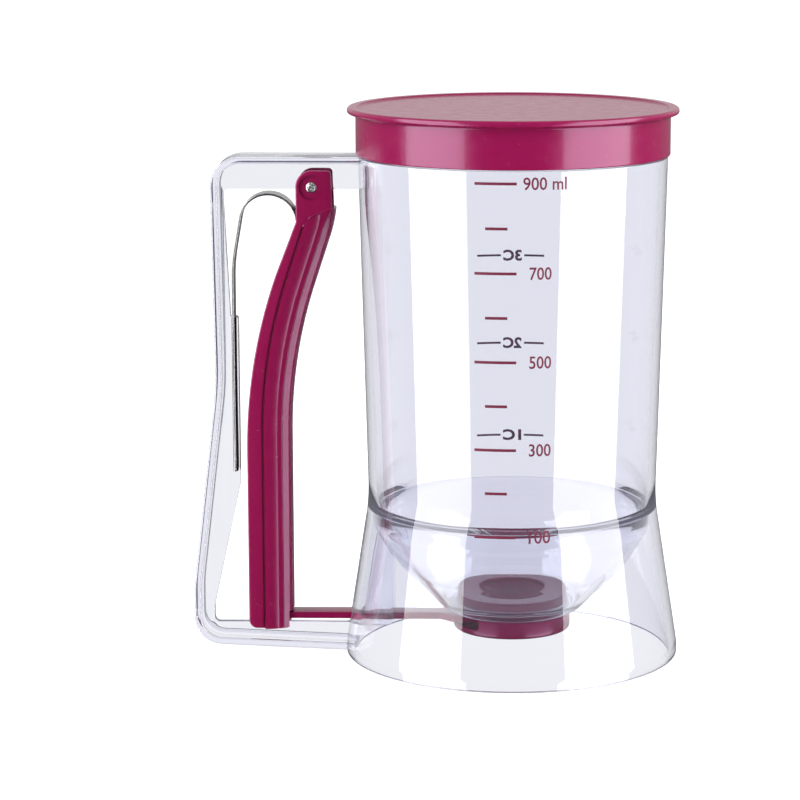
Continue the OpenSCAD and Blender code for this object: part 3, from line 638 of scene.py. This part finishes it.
def handle_web(name, h, inner_top, inner_low):
    """Web of the handle, with the strip that stands in front of the spring's leg, the slit that holds
    the leg and the lobe round the pivot."""
    j = bpy.context.scene.dispenser_jug
    v = bpy.context.scene.dispenser_lever
    outer = rounded(grip_corners(h, inner_top, inner_low, h.flange_t / 2), closed=False)
    leaf_x = SPRING_LOW.x + v.leaf_t / 2
    slit = v.leaf_t / 2 + 0.13 * MM
    strip_x = leaf_x + slit + 1.15 * MM
    slit_low, strip_top = v.pivot_z - 100.13 * MM, v.pivot_z - v.clamp_drop
    arm_z = j.shoulder_z - h.arm_d
    web_low = GATE_HIGH.z - 4.1 * MM
    foot_x = h.foot_x + h.flange_t + 4 * MM
    inner = rounded([
        (inner_low, web_low, 0),
        (foot_x, web_low, 2 * MM),
        (foot_x, web_low + 6 * MM, 3 * MM),
        (strip_x, slit_low - 4 * MM, 12 * MM),
        (strip_x, strip_top, 0.95 * MM),
        (leaf_x + slit, strip_top, 0),
        (leaf_x + slit, slit_low, 0),
        (leaf_x - slit, slit_low, 0),
        (leaf_x - slit, strip_top, 0.2 * MM),
        (leaf_x - 1.1 * MM, strip_top, 0),
        (leaf_x - 3.2 * MM, arm_z, 2 * MM),
        (v.pivot_x - 8 * MM, arm_z, 0)], closed=False)
    lobe_r = 4.4 * MM
    dip = math.degrees(math.asin((v.pivot_z - arm_z) / lobe_r))
    lobe = arc((v.pivot_x, v.pivot_z), lobe_r, 180 + dip, 360 - dip)
    outline = np.vstack([outer, inner, lobe, [(inner_top, arm_z)]])
    return plate(name, outline, -h.web_t / 2, h.web_t / 2, 0.25 * MM)


class DISPENSER_OT_jug(bpy.types.Operator):
    """Clear jug with its hopper, skirt and loop handle"""
    bl_idname = "dispenser.jug"
    bl_label = "Jug, hopper and handle"

    def execute(self, context):
        s, h = context.scene.dispenser_jug, context.scene.dispenser_handle
        v = context.scene.dispenser_lever
        wall = turned("jug", jug_section(s))
        slot = box_plate("slot", (-70 * MM, -s.slot_w / 2, GATE_HIGH.z - 2.9 * MM),
                         (s.guide_x, s.slot_w / 2, GATE_HIGH.z + 1.5 * MM), 0.5 * MM)
        worked(wall, [slot], "DIFFERENCE")
        worked(wall, [guide_panel(f"guide_{side}", s, side) for side in (-1, 1)], "UNION")
        top, low = -s.shoulder_r + 0.6 * s.wall, -s.foot_r + 0.6 * s.wall
        worked(wall, [handle_flange("flange", h, top, low), handle_web("web", h, top, low)], "UNION")
        bore = bar_rod("bore", v.pivot_x, v.pivot_z, v.pin_r + 0.05 * MM, -4 * MM, 4 * MM)
        worked(wall, [bore], "DIFFERENCE")
        finished(wall, "jug_with_handle", "jug", look("clear_look", clear_plastic),
                 ["jug_wall", "hopper", "handle_frame"])
        return {"FINISHED"}


# Lid

class DISPENSER_OT_lid(bpy.types.Operator):
    """Press-on lid with a dished top"""
    bl_idname = "dispenser.lid"
    bl_label = "Lid"

    def execute(self, context):
        s = context.scene.dispenser_jug
        under = s.rim_z + s.gap
        bore = s.shoulder_r - s.neck_step + 0.3 * MM
        skirt = bore + 1.6 * MM
        brim, bead, dish = LID_HIGH.x, 3.4 * MM, 0.6 * MM
        outline = rounded([
            (0, under, 0),
            (bore, under, 0.5 * MM),
            (bore, LID_LOW.z, 0.4 * MM),
            (skirt, LID_LOW.z, 0.5 * MM),
            (skirt, under, 0.9 * MM),
            (brim, under, 0.8 * MM),
            (brim, LID_HIGH.z, 1.1 * MM),
            (brim - bead, LID_HIGH.z, 1 * MM),
            (brim - bead - dish, LID_HIGH.z - dish, 0.9 * MM),
            (0, LID_HIGH.z - dish, 0)], closed=False)
        finished(turned("lid", outline), "lid_top", "lid", look("magenta_look", magenta_plastic),
                 ["lid"])
        return {"FINISHED"}


# Lever

def finger_edge(v, d, low):
    """Line of the finger side, moved back by d: upright from low, round the bend, leaning, and round a
    second bend back towards upright."""
    x, z = v.pivot_x - v.front_set, v.pivot_z - 86.4 * MM
    lean = math.degrees(v.lean)
    bend = arc((x + v.bend, z), v.bend + d, 180, 180 - lean)
    along = np.array([math.sin(v.lean), math.cos(v.lean)])
    left = np.array([-along[1], along[0]])
    run = (v.pivot_z - 17.4 * MM - z - v.bend * along[0]) / along[1]
    middle = bend[-1] + run * along + (v.nose - d) * left
    nose = arc(middle, v.nose - d, -lean, 12)
    return np.vstack([[(x - d, low)], [(x - d, z - 1 * MM)], bend, [bend[-1] + 1 * MM * along],
                      [nose[0] - 1 * MM * along], nose])


def lever_side(v):
    """Outline of the lever's ears and cheeks."""
    x, z = v.pivot_x, v.pivot_z
    foot = LEVER_LOW.z
    back_x = x - v.front_set - v.depth
    back_r = v.bend + 20 * MM
    bend_z = z - 92.4 * MM
    back = np.vstack([arc((back_x + 3 * MM, foot + 3 * MM), 3 * MM, 270, 180),
                      arc((back_x + back_r, bend_z), back_r, 180, 180 - math.degrees(v.lean) - 1.3)])
    head = np.vstack([
        [(x - 5.4 * MM, z - 11.9 * MM)],
        arc((x + 0.1 * MM, z + 0.3 * MM), 5.5 * MM, 180, 90),
        arc((x + 5.4 * MM, z + 4.4 * MM), 1.4 * MM, 90, 0),
        [(x + 7.2 * MM, z - 7.5 * MM)]])
    front = finger_edge(v, 3 * MM, foot)[::-1]
    front = front[front[:, 1] < z - 14 * MM]
    return np.vstack([back, head, front])[::-1]


def lever_body(name, v):
    """Finger side: a section with bulged sides and a round nose, carried along the finger edge."""
    w = v.body_w / 2
    half = [(0, v.bulge - w, 2 * MM), (7.2 * MM, -w, 12 * MM), (9.6 * MM, -w, 0.05 * MM)]
    section = rounded(half + [(depth, -across, r) for depth, across, r in half[::-1]])
    return carried(name, finger_edge(v, 0, LEVER_LOW.z), section)


def lever_bead(name, v):
    """Bead along the step under the ears, a little prouder than they are."""
    x, z, w, r = v.pivot_x, v.pivot_z, v.body_w / 2 - 1 * MM, 0.5 * MM
    line = rounded([(x - 2.8 * MM, z - 13.6 * MM, 0), (x - 0.4 * MM, z - 10.3 * MM, 2 * MM),
                    (x + 6.6 * MM, z - 7.3 * MM, 0)], closed=False)
    return carried(name, line, block((-r, -w), (r, w), 0.9 * r))


def lever_groove(name, v, side):
    """Shallow groove beside the finger side, in the ear's outer face."""
    low, high = span(side, v.ear_w / 2 - 0.5 * MM, v.ear_w)
    line = finger_edge(v, 0, LEVER_LOW.z - 2 * MM)
    line = line[line[:, 1] < v.pivot_z - 16 * MM]
    return carried(name, line, block((9.4 * MM, low), (10.3 * MM, high), 0.15 * MM))


def lever_channel(name, v):
    """Space inside the lever: open behind, below, and over the finger wall."""
    back, front, over = v.pivot_x - 60 * MM, v.pivot_x + 60 * MM, v.pivot_z + 30 * MM
    top, front_low = v.pivot_z - 7.4 * MM, GATE_HIGH.z + 0.7 * MM
    line = finger_edge(v, v.finger_wall, front_low)
    end = (np.interp(top, line[:, 1], line[:, 0]), top)
    outline = np.vstack([
        [(back, -5 * MM), (front, -5 * MM), (front, front_low)],
        line[line[:, 1] < top - 0.1 * MM],
        [end, (front, top), (front, over), (back, over)]])
    return plate(name, outline, -v.channel_w / 2, v.channel_w / 2, 0.05 * MM)


class DISPENSER_OT_lever(bpy.types.Operator):
    """Trigger lever and the pin that it turns on"""
    bl_idname = "dispenser.lever"
    bl_label = "Lever and pin"

    def execute(self, context):
        v = context.scene.dispenser_lever
        x, z = v.pivot_x, v.pivot_z
        body = lever_body("body", v)
        front_x, foot, r, wide = x - v.front_set, LEVER_LOW.z, 2.5 * MM, (-20 * MM, 20 * MM, 0.05 * MM)
        corner = plate("corner", np.vstack([
            [(front_x - r, foot - 1 * MM), (front_x + r, foot - 1 * MM), (front_x + r, foot + r)],
            arc((front_x - r, foot + r), r, 0, -90)]), *wide)
        ridge = plate("ridge", np.array([
            (x - 40 * MM, z - 14.2 * MM), (x - 9.4 * MM, z - 14.2 * MM), (x + 14.6 * MM, z - 4.2 * MM),
            (x + 40 * MM, z + 60 * MM), (x - 40 * MM, z + 60 * MM)]), *wide)
        worked(body, [ridge, corner], "DIFFERENCE")
        ears = plate("ears", lever_side(v), -v.ear_w / 2, v.ear_w / 2, 0.45 * MM)
        worked(ears, [lever_groove(f"groove_{side}", v, side) for side in (-1, 1)], "DIFFERENCE")
        worked(body, [ears, lever_bead("bead", v)], "UNION")
        worked(body, [lever_channel("channel", v)] + [
            bar_rod(f"recess_{side}", x, z, 4.3 * MM, *span(side, v.ear_w / 2 - 0.8 * MM, v.ear_w))
            for side in (-1, 1)], "DIFFERENCE")
        half, rib_x, adds = v.channel_w / 2 + 0.3 * MM, x - v.rib_back, []
        for side in (-1, 1):
            adds.append(bar_rod(f"boss_{side}", x, z, 4 * MM, *span(side, 1.9 * MM, half)))
            low, high = span(side, 2.9 * MM, half)
            adds.append(box_plate(f"rib_{side}", (rib_x - v.rib_t / 2, low, foot + 0.6 * MM),
                                  (rib_x + v.rib_t / 2, high, GATE_HIGH.z + 9 * MM)))
        rest_x, rest_z = SPRING_HIGH.x + 0.3 * MM, z - 19.3 * MM
        adds.append(box_plate("rest", (rest_x, -half, rest_z), (rest_x + 1.9 * MM, half, rest_z + 8 * MM)))
        worked(body, adds, "UNION")
        worked(body, [bar_rod("bore", x, z, v.pin_r, -10 * MM, 10 * MM)], "DIFFERENCE")
        finished(body, "trigger_lever_moulding", "trigger", look("magenta_look", magenta_plastic),
                 ["trigger_lever"])
        half, round_r = PIN_HIGH.y, 0.5 * MM
        pin = rod("pin", x, z, rounded([
            (0, -half, 0), (v.pin_r, -half, round_r), (v.pin_r, half, round_r), (0, half, 0)], closed=False))
        finished(pin, "pin_of_pivot", "trigger", look("pin_look", drawn_steel, 0.3, (1, 1, 1), 1.2 * MM),
                 ["pivot_pin"])
        return {"FINISHED"}


# Spring

class DISPENSER_OT_spring(bpy.types.Operator):
    """Bent leaf spring between the grip and the lever"""
    bl_idname = "dispenser.spring"
    bl_label = "Spring"

    def execute(self, context):
        v = context.scene.dispenser_lever
        leaf_x = SPRING_LOW.x + v.leaf_t / 2
        arch_r, bend, lean, end = 9.75 * MM, 60 * MM, 9.9, -5
        arch = np.array([v.pivot_x - 15.15 * MM, v.pivot_z - 12.3 * MM])
        slope, droop = math.radians(lean), math.radians(end)
        foot = arch + arch_r * np.array([-math.cos(slope), math.sin(slope)])
        lean_low = foot[1] - (foot[0] - leaf_x) / math.tan(slope)
        centre = (leaf_x + bend, lean_low - bend * math.tan(slope / 2))
        tip = arch + arch_r * np.array([math.cos(droop), math.sin(droop)])
        tail = tip + 6 * MM * np.array([math.sin(droop), -math.cos(droop)])
        lower = np.column_stack([np.full(40, leaf_x), np.linspace(SPRING_LOW.z, centre[1] - 0.5 * MM, 40)])
        line = np.vstack([lower, arc(centre, bend, 180, 180 - lean),
                          arc(arch, arch_r, 180 - lean, end), [tail]])
        t, w = v.leaf_t / 2, v.leaf_w / 2
        leaf = carried("leaf", line, block((-t, -w), (t, w), 0.3 * MM))
        finished(leaf, "spring_leaf", None, look("spring_look", drawn_steel, 0.25, (1, 1, 0.06), 0.01 * MM),
                 ["return_spring"])
        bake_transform(leaf)
        return {"FINISHED"}


# Valve

def gate_outline(g, v):
    """Outline (x, y) of the gate: the round end, the flare and the bar with the lever's notches."""
    half = g.bar_w / 2
    pad = half + 0.55 * MM
    rib_x = v.pivot_x - v.rib_back
    notch, notch_y = v.rib_t / 2 + 0.35 * MM, -2.6 * MM
    side = rounded([
        (GATE_LOW.x, 0, 0),
        (GATE_LOW.x, -pad + 1 * MM, 0),
        (GATE_LOW.x + 0.5 * MM, -pad, 0),
        (rib_x - notch, -pad, 0.2 * MM),
        (rib_x - notch, notch_y, 0.2 * MM),
        (rib_x + notch, notch_y, 0.2 * MM),
        (rib_x + notch, -pad, 0.2 * MM),
        (rib_x + notch + 2.4 * MM, -pad, 1 * MM),
        (rib_x + notch + 3.4 * MM, -half, 1 * MM),
        (-CUP_HIGH.x - 4.65 * MM, -half, 2 * MM),
        (-CUP_HIGH.x - 0.15 * MM, -8 * MM, 2 * MM),
        (-3 * MM, -9.7 * MM, 0)], closed=False)
    return np.vstack([side, (side * (1, -1))[:0:-1]])


def sliding_gate(g, v):
    """Round plate with the bar joined to it."""
    edge = 0.3 * MM
    plate_line = rounded([(0, GATE_LOW.z, 0), (g.gate_r, GATE_LOW.z, edge), (g.gate_r, GATE_HIGH.z, edge),
                          (0, GATE_HIGH.z, 0)], closed=False)
    bar = plate("bar", gate_outline(g, v), GATE_HIGH.z - g.bar_t, GATE_HIGH.z - 0.01 * MM, 0.25 * MM, level)
    return worked(turned("disc", plate_line, 128), [bar], "UNION")


def seat_ring(g):
    """Ring over the gate: a hub with a wider flange, and an opening that narrows downwards."""
    flange_low = SEAT_HIGH.z - 3.8 * MM
    return turned("ring", rounded([
        (g.seat_bore, SEAT_LOW.z, 0.2 * MM),
        (g.seat_hub, SEAT_LOW.z, 0.3 * MM),
        (g.seat_hub, flange_low, 0),
        (SEAT_HIGH.x, flange_low, 0.2 * MM),
        (SEAT_HIGH.x, SEAT_HIGH.z, 0.6 * MM),
        (g.seat_mouth, SEAT_HIGH.z, 0.6 * MM),
        (g.seat_mouth, SEAT_HIGH.z - 1.6 * MM, 2 * MM),
        (g.seat_bore, SEAT_LOW.z + 2 * MM, 2 * MM)]), 160)


def valve_cup(g, s):
    """Cup under the gate, with its outlet and the pocket and window that the gate slides in."""
    top, neck_r = CUP_HIGH.z - g.cup_neck, s.collar_bore - s.gap
    land, inside = GATE_HIGH.z + 0.1 * MM, 8 * MM
    cup = turned("cup", rounded([
        (inside, CUP_LOW.z, 0),
        (CUP_HIGH.x, CUP_LOW.z, 1.2 * MM),
        (CUP_HIGH.x, top, 0.4 * MM),
        (neck_r, top, 0.1 * MM),
        (neck_r, CUP_HIGH.z, 0.3 * MM),
        (g.cup_bore, CUP_HIGH.z, 0.3 * MM),
        (g.cup_bore, land, 0.1 * MM),
        (inside, land, 0)]), 160)
    pocket_r, bend_x, back_x = g.gate_r + 0.3 * MM, -0.555 * CUP_HIGH.x, -45 * MM
    pocket = plate("pocket", np.vstack([
        arc((0, 0), pocket_r, -90, 90),
        [(bend_x + 3 * MM, pocket_r), (bend_x, g.window), (back_x, g.window),
         (back_x, -g.window), (bend_x, -g.window), (bend_x + 3 * MM, -pocket_r)]]),
        CUP_LOW.z + g.cup_floor, top, 0.05 * MM, level)
    flare = 0.8 * MM
    outlet = turned("outlet", np.array([
        (0, CUP_LOW.z - flare), (g.outlet_r + 2 * flare, CUP_LOW.z - flare), (g.outlet_r, CUP_LOW.z + flare),
        (g.outlet_r, land + 1 * MM), (0, land + 1 * MM)]), 128)
    return worked(cup, [pocket, outlet], "DIFFERENCE")


class DISPENSER_OT_valve(bpy.types.Operator):
    """Sliding gate, seat ring and valve cup"""
    bl_idname = "dispenser.valve"
    bl_label = "Valve"

    def execute(self, context):
        plastic = look("magenta_look", magenta_plastic)
        s, g, v = context.scene.dispenser_jug, context.scene.dispenser_valve, context.scene.dispenser_lever
        finished(sliding_gate(g, v), "gate_and_bar", "gate", plastic, ["valve_gate"])
        finished(seat_ring(g), "seat_ring_moulding", "jug", plastic, ["seat_ring"])
        finished(valve_cup(g, s), "valve_cup_moulding", "jug", plastic, ["valve_cup"])
        return {"FINISHED"}


# Printed scales

INK_LOW, INK_TOP = 0.03 * MM, 0.08 * MM
NEAR, FAR = -1, 1


def wrapped(points, side):
    """Flat points (across, up, out) laid on the near or far side of the jug: across becomes an angle at the
    wall's radius, which is read off the jug's outer outline at that height."""
    s = bpy.context.scene.dispenser_jug
    line = rounded(jug_corners(s), closed=False)
    line = line[np.argsort(line[:, 1])]
    r = np.interp(points[:, 1], line[:, 1], line[:, 0])
    a = points[:, 0] / r
    reach = r + points[:, 2]
    return np.column_stack([-side * reach * np.sin(a), side * reach * np.cos(a), points[:, 1]])


def tick(left, right, z, thick, side):
    """Points and faces of a stroke of ink: a thin closed box, cut into steps along its length."""
    steps = 16
    low, high = z - thick / 2, z + thick / 2
    ring = [(low, INK_LOW), (low, INK_TOP), (high, INK_TOP), (high, INK_LOW)]
    points = np.column_stack([np.repeat(np.linspace(left, right, steps), 4), np.tile(ring, (steps, 1))])
    last = 4 * steps - 1
    faces = quads(steps, 4, False, True).tolist() + [[0, 1, 2, 3], [last, last - 1, last - 2, last - 3]]
    return wrapped(points, side), faces


def lettering(text, left, z, height, width, side, bold):
    """Points and faces of a short word, scaled to its height and width and laid on the wall."""
    curve = bpy.data.curves.new("ink", "FONT")
    curve.body = text
    curve.extrude = 0.5
    curve.offset = bold
    curve.resolution_u = 3
    carrier = placed("ink", curve)
    flat = frozen(carrier)
    co = np.zeros(len(flat.vertices) * 3)
    flat.vertices.foreach_get("co", co)
    co = co.reshape(-1, 3)
    low, high = co.min(0), co.max(0)
    co = (co - low) / (high - low)
    points = np.column_stack([left + co[:, 0] * width, z + (co[:, 1] - 0.5) * height,
                              INK_LOW + co[:, 2] * (INK_TOP - INK_LOW)])
    faces = [list(p.vertices) for p in flat.polygons]
    bpy.data.objects.remove(carrier)
    return wrapped(points, side), faces


def inked(name, strokes):
    """One mesh of several strokes."""
    points, faces, start = [], [], 0
    for p, f in strokes:
        points.append(p)
        faces += [[i + start for i in face] for face in f]
        start += len(p)
    return meshed(name, np.vstack(points), faces,
                  lambda work: bmesh.ops.recalc_face_normals(work, faces=work.faces))


class DISPENSER_OT_scales(bpy.types.Operator):
    """Printed scales: millilitres on the near wall, cups on the far wall"""
    bl_idname = "dispenser.scales"
    bl_label = "Printed scales"

    def execute(self, context):
        hundred, first = 14.91 * MM, 51.95 * MM
        strokes = []
        for k in range(1, 10):
            z = first + (k - 1) * hundred
            if k % 2 == 0:
                strokes.append(tick(-9.1 * MM, -1.7 * MM, z, 0.95 * MM, NEAR))
                continue
            strokes.append(tick(-12.7 * MM, 1.3 * MM, z, 0.95 * MM, NEAR))
            text, left, width = (f"{k}00", 5.6 * MM, 7.4 * MM) if k < 9 else ("900 ml", 3.4 * MM, 14.6 * MM)
            strokes.append(lettering(text, left, z, 4.3 * MM, width, NEAR, 0.012))
        ink = look("ink_look", scale_ink)
        finished(inked("ink_near", strokes), "scale_millilitres", "jug", ink)
        strokes = []
        for text, z in (("1C", 67.35 * MM), ("2C", 101.35 * MM), ("3C", 133.35 * MM)):
            strokes += [lettering(text, -3.5 * MM, z, 4.1 * MM, 7 * MM, FAR, 0.04),
                        tick(-12 * MM, -4.4 * MM, z, 0.75 * MM, FAR),
                        tick(4.4 * MM, 13.5 * MM, z, 0.75 * MM, FAR)]
        finished(inked("ink_far", strokes), "scale_cups", "jug", ink)
        return {"FINISHED"}


# Stage

def backdrop(tree, colour, strength=None):
    """Background shader of a plain colour or of a colour output, of strength 1 or of a strength output."""
    shader = added(tree, "Background", Strength=1)
    if isinstance(colour, tuple):
        filled(shader, Color=(*colour, 1))
    else:
        link(tree, colour, shader.inputs["Color"])
    if strength:
        link(tree, strength, shader.inputs["Strength"])
    return shader.outputs["Background"]


def chosen(tree, which, without, with_it):
    """The second shader for rays of one kind, else the first."""
    mix = added(tree, "MixShader")
    link(tree, which, mix.inputs["Fac"])
    link(tree, without, mix.inputs[1])
    link(tree, with_it, mix.inputs[2])
    return mix.outputs["Shader"]


def white_world():
    """White to the camera, also through the plastic. In a reflection, or after one inside the plastic, it
    is a studio: a white wall behind, grey sides, a dim bluish room in front and a pale table. It lights
    surfaces evenly, and those behind clear plastic more, to make up for the light that is lost there."""
    white, dim, grey, pale = (1, 1, 1), (0.14, 0.15, 0.21), (0.50, 0.50, 0.57), (0.8, 0.8, 0.84)
    world = bpy.data.worlds.new("studio")
    bpy.context.scene.world = world
    world.use_nodes = True
    tree = world.node_tree
    tree.nodes.clear()
    out = added(tree, "OutputWorld")
    rays = added(tree, "LightPath").outputs
    where = added(tree, "TexCoord")
    parts = added(tree, "SeparateXYZ")
    link(tree, where.outputs["Generated"], parts.inputs["Vector"])
    y, z = parts.outputs["Y"], parts.outputs["Z"]
    room = added(tree, "ValToRGB")
    stops = room.color_ramp.elements
    stops[0].position, stops[0].color = 0, (*dim, 1)
    stops[1].position, stops[1].color = 0.8, (*white, 1)
    stops.new(0.5).color = (*grey, 1)
    link(tree, ramp(tree, y, (-1, 1), (0, 1)), room.inputs["Fac"])
    walls = room.outputs["Color"]
    over = backdrop(tree, walls, ramp(tree, z, (-0.12, 0.04), (0.15, 0.62)))
    table = chosen(tree, ramp(tree, z, (-0.35, -0.8), (0, 1)), backdrop(tree, walls), backdrop(tree, pale))
    mirrored = chosen(tree, rays["Is Transmission Ray"], over, table)
    seen = chosen(tree, rays["Glossy Depth"], backdrop(tree, white), mirrored)
    sky = backdrop(tree, white, ramp(tree, rays["Transmission Depth"], (0, 1), (0.55, 1.9)))
    link(tree, chosen(tree, rays["Diffuse Depth"], seen, sky), out.inputs["Surface"])


def pale_floor():
    """Wide pale floor that shows white and keeps the object's shadow."""
    half, z = 8.0, -0.1 * MM
    mesh = bpy.data.meshes.new("floor")
    corners = [(-half, -half, z), (half, -half, z), (half, half, z), (-half, half, z)]
    mesh.from_pydata(corners, [], [(0, 1, 2, 3)])
    floor = placed("floor", mesh)
    material = bpy.data.materials.new("floor_white")
    material.use_nodes = True
    tree = material.node_tree
    shader = filled(tree.nodes["Principled BSDF"],
                    Roughness=0.9, Specular_IOR_Level=0, Emission_Color=(1, 1, 1, 1))
    link(tree, two_tone(tree, noise(tree, 3), (0.62, 0.62, 0.63), 0.01), shader.inputs["Base Color"])
    rays = added(tree, "LightPath")
    lift = ramp(tree, rays.outputs["Is Camera Ray"], (0, 1), (0, 0.75))
    link(tree, lift, shader.inputs["Emission Strength"])
    mesh.materials.append(material)
    floor.visible_glossy = floor.visible_transmission = False


def softbox(name, azimuth, width, roll):
    """Tall area lamp that faces the jug's axis, azimuth degrees round from the front, its top rolled over
    by roll degrees."""
    distance, height, z, radiance = 1.3, 2.6, 0.2, 5.5
    lamp = bpy.data.lights.new(name, "AREA")
    lamp.shape = "RECTANGLE"
    lamp.size, lamp.size_y = width, height
    lamp.energy = radiance * math.pi * width * height
    box = placed(name, lamp)
    a = math.radians(azimuth)
    box.location = (distance * math.sin(a), -distance * math.cos(a), z)
    box.rotation_euler = (math.radians(90), math.radians(roll), a)
    box.visible_transmission = False


def front_camera():
    """Camera in front of the jug, a little over it and tipped down."""
    view = bpy.data.cameras.new("camera")
    view.sensor_width, view.lens = 36, 136.6
    view.shift_x, view.shift_y = -0.083, -0.0025
    view.clip_start, view.clip_end = 0.01, 50
    camera = placed("camera", view)
    camera.location = (0, -1.0416, 0.285)
    camera.rotation_euler = (math.radians(90 - 10.6), 0, math.radians(0.88))
    bpy.context.scene.camera = camera


class DISPENSER_OT_stage(bpy.types.Operator):
    """Floor, backdrop, softboxes and camera"""
    bl_idname = "dispenser.stage"
    bl_label = "Stage"

    def execute(self, context):
        white_world()
        pale_floor()
        softbox("softbox_left", -59.5, 1.13, -12)
        softbox("softbox_right", 66, 1.32, 18)
        front_camera()
        context.scene.view_settings.view_transform = "Standard"
        return {"FINISHED"}


class DISPENSER_PT_panel(bpy.types.Panel):
    """The dispenser's pieces, in the sidebar"""
    bl_idname = "DISPENSER_PT_panel"
    bl_label = "Batter Dispenser"
    bl_space_type = "VIEW_3D"
    bl_region_type = "UI"
    bl_category = "Dispenser"

    def draw(self, context):
        for operator in OPERATORS:
            self.layout.operator(operator.bl_idname)
        for key in GROUPS:
            group = getattr(context.scene, key)
            for name in group.__annotations__:
                self.layout.prop(group, name)


OPERATORS = (DISPENSER_OT_jug, DISPENSER_OT_lid, DISPENSER_OT_lever,
             DISPENSER_OT_spring, DISPENSER_OT_valve, DISPENSER_OT_scales, DISPENSER_OT_stage)
GROUPS = {"dispenser_jug": JugSizes, "dispenser_handle": HandleSizes, "dispenser_lever": LeverSizes,
          "dispenser_valve": ValveSizes, "dispenser_finishes": Finishes}


def register():
    for item in (*GROUPS.values(), *OPERATORS, DISPENSER_PT_panel):
        bpy.utils.register_class(item)
    for name, group in GROUPS.items():
        setattr(bpy.types.Scene, name, PointerProperty(type=group))


def unregister():
    for name in GROUPS:
        delattr(bpy.types.Scene, name)
    for item in (DISPENSER_PT_panel, *reversed(OPERATORS), *reversed(GROUPS.values())):
        bpy.utils.unregister_class(item)


def main():
    """Makes every piece and the stage."""
    register()
    bpy.ops.dispenser.jug()
    bpy.ops.dispenser.lid()
    bpy.ops.dispenser.lever()
    bpy.ops.dispenser.spring()
    bpy.ops.dispenser.valve()
    bpy.ops.dispenser.scales()
    bpy.ops.dispenser.stage()


if __name__ == "__main__":
    main()
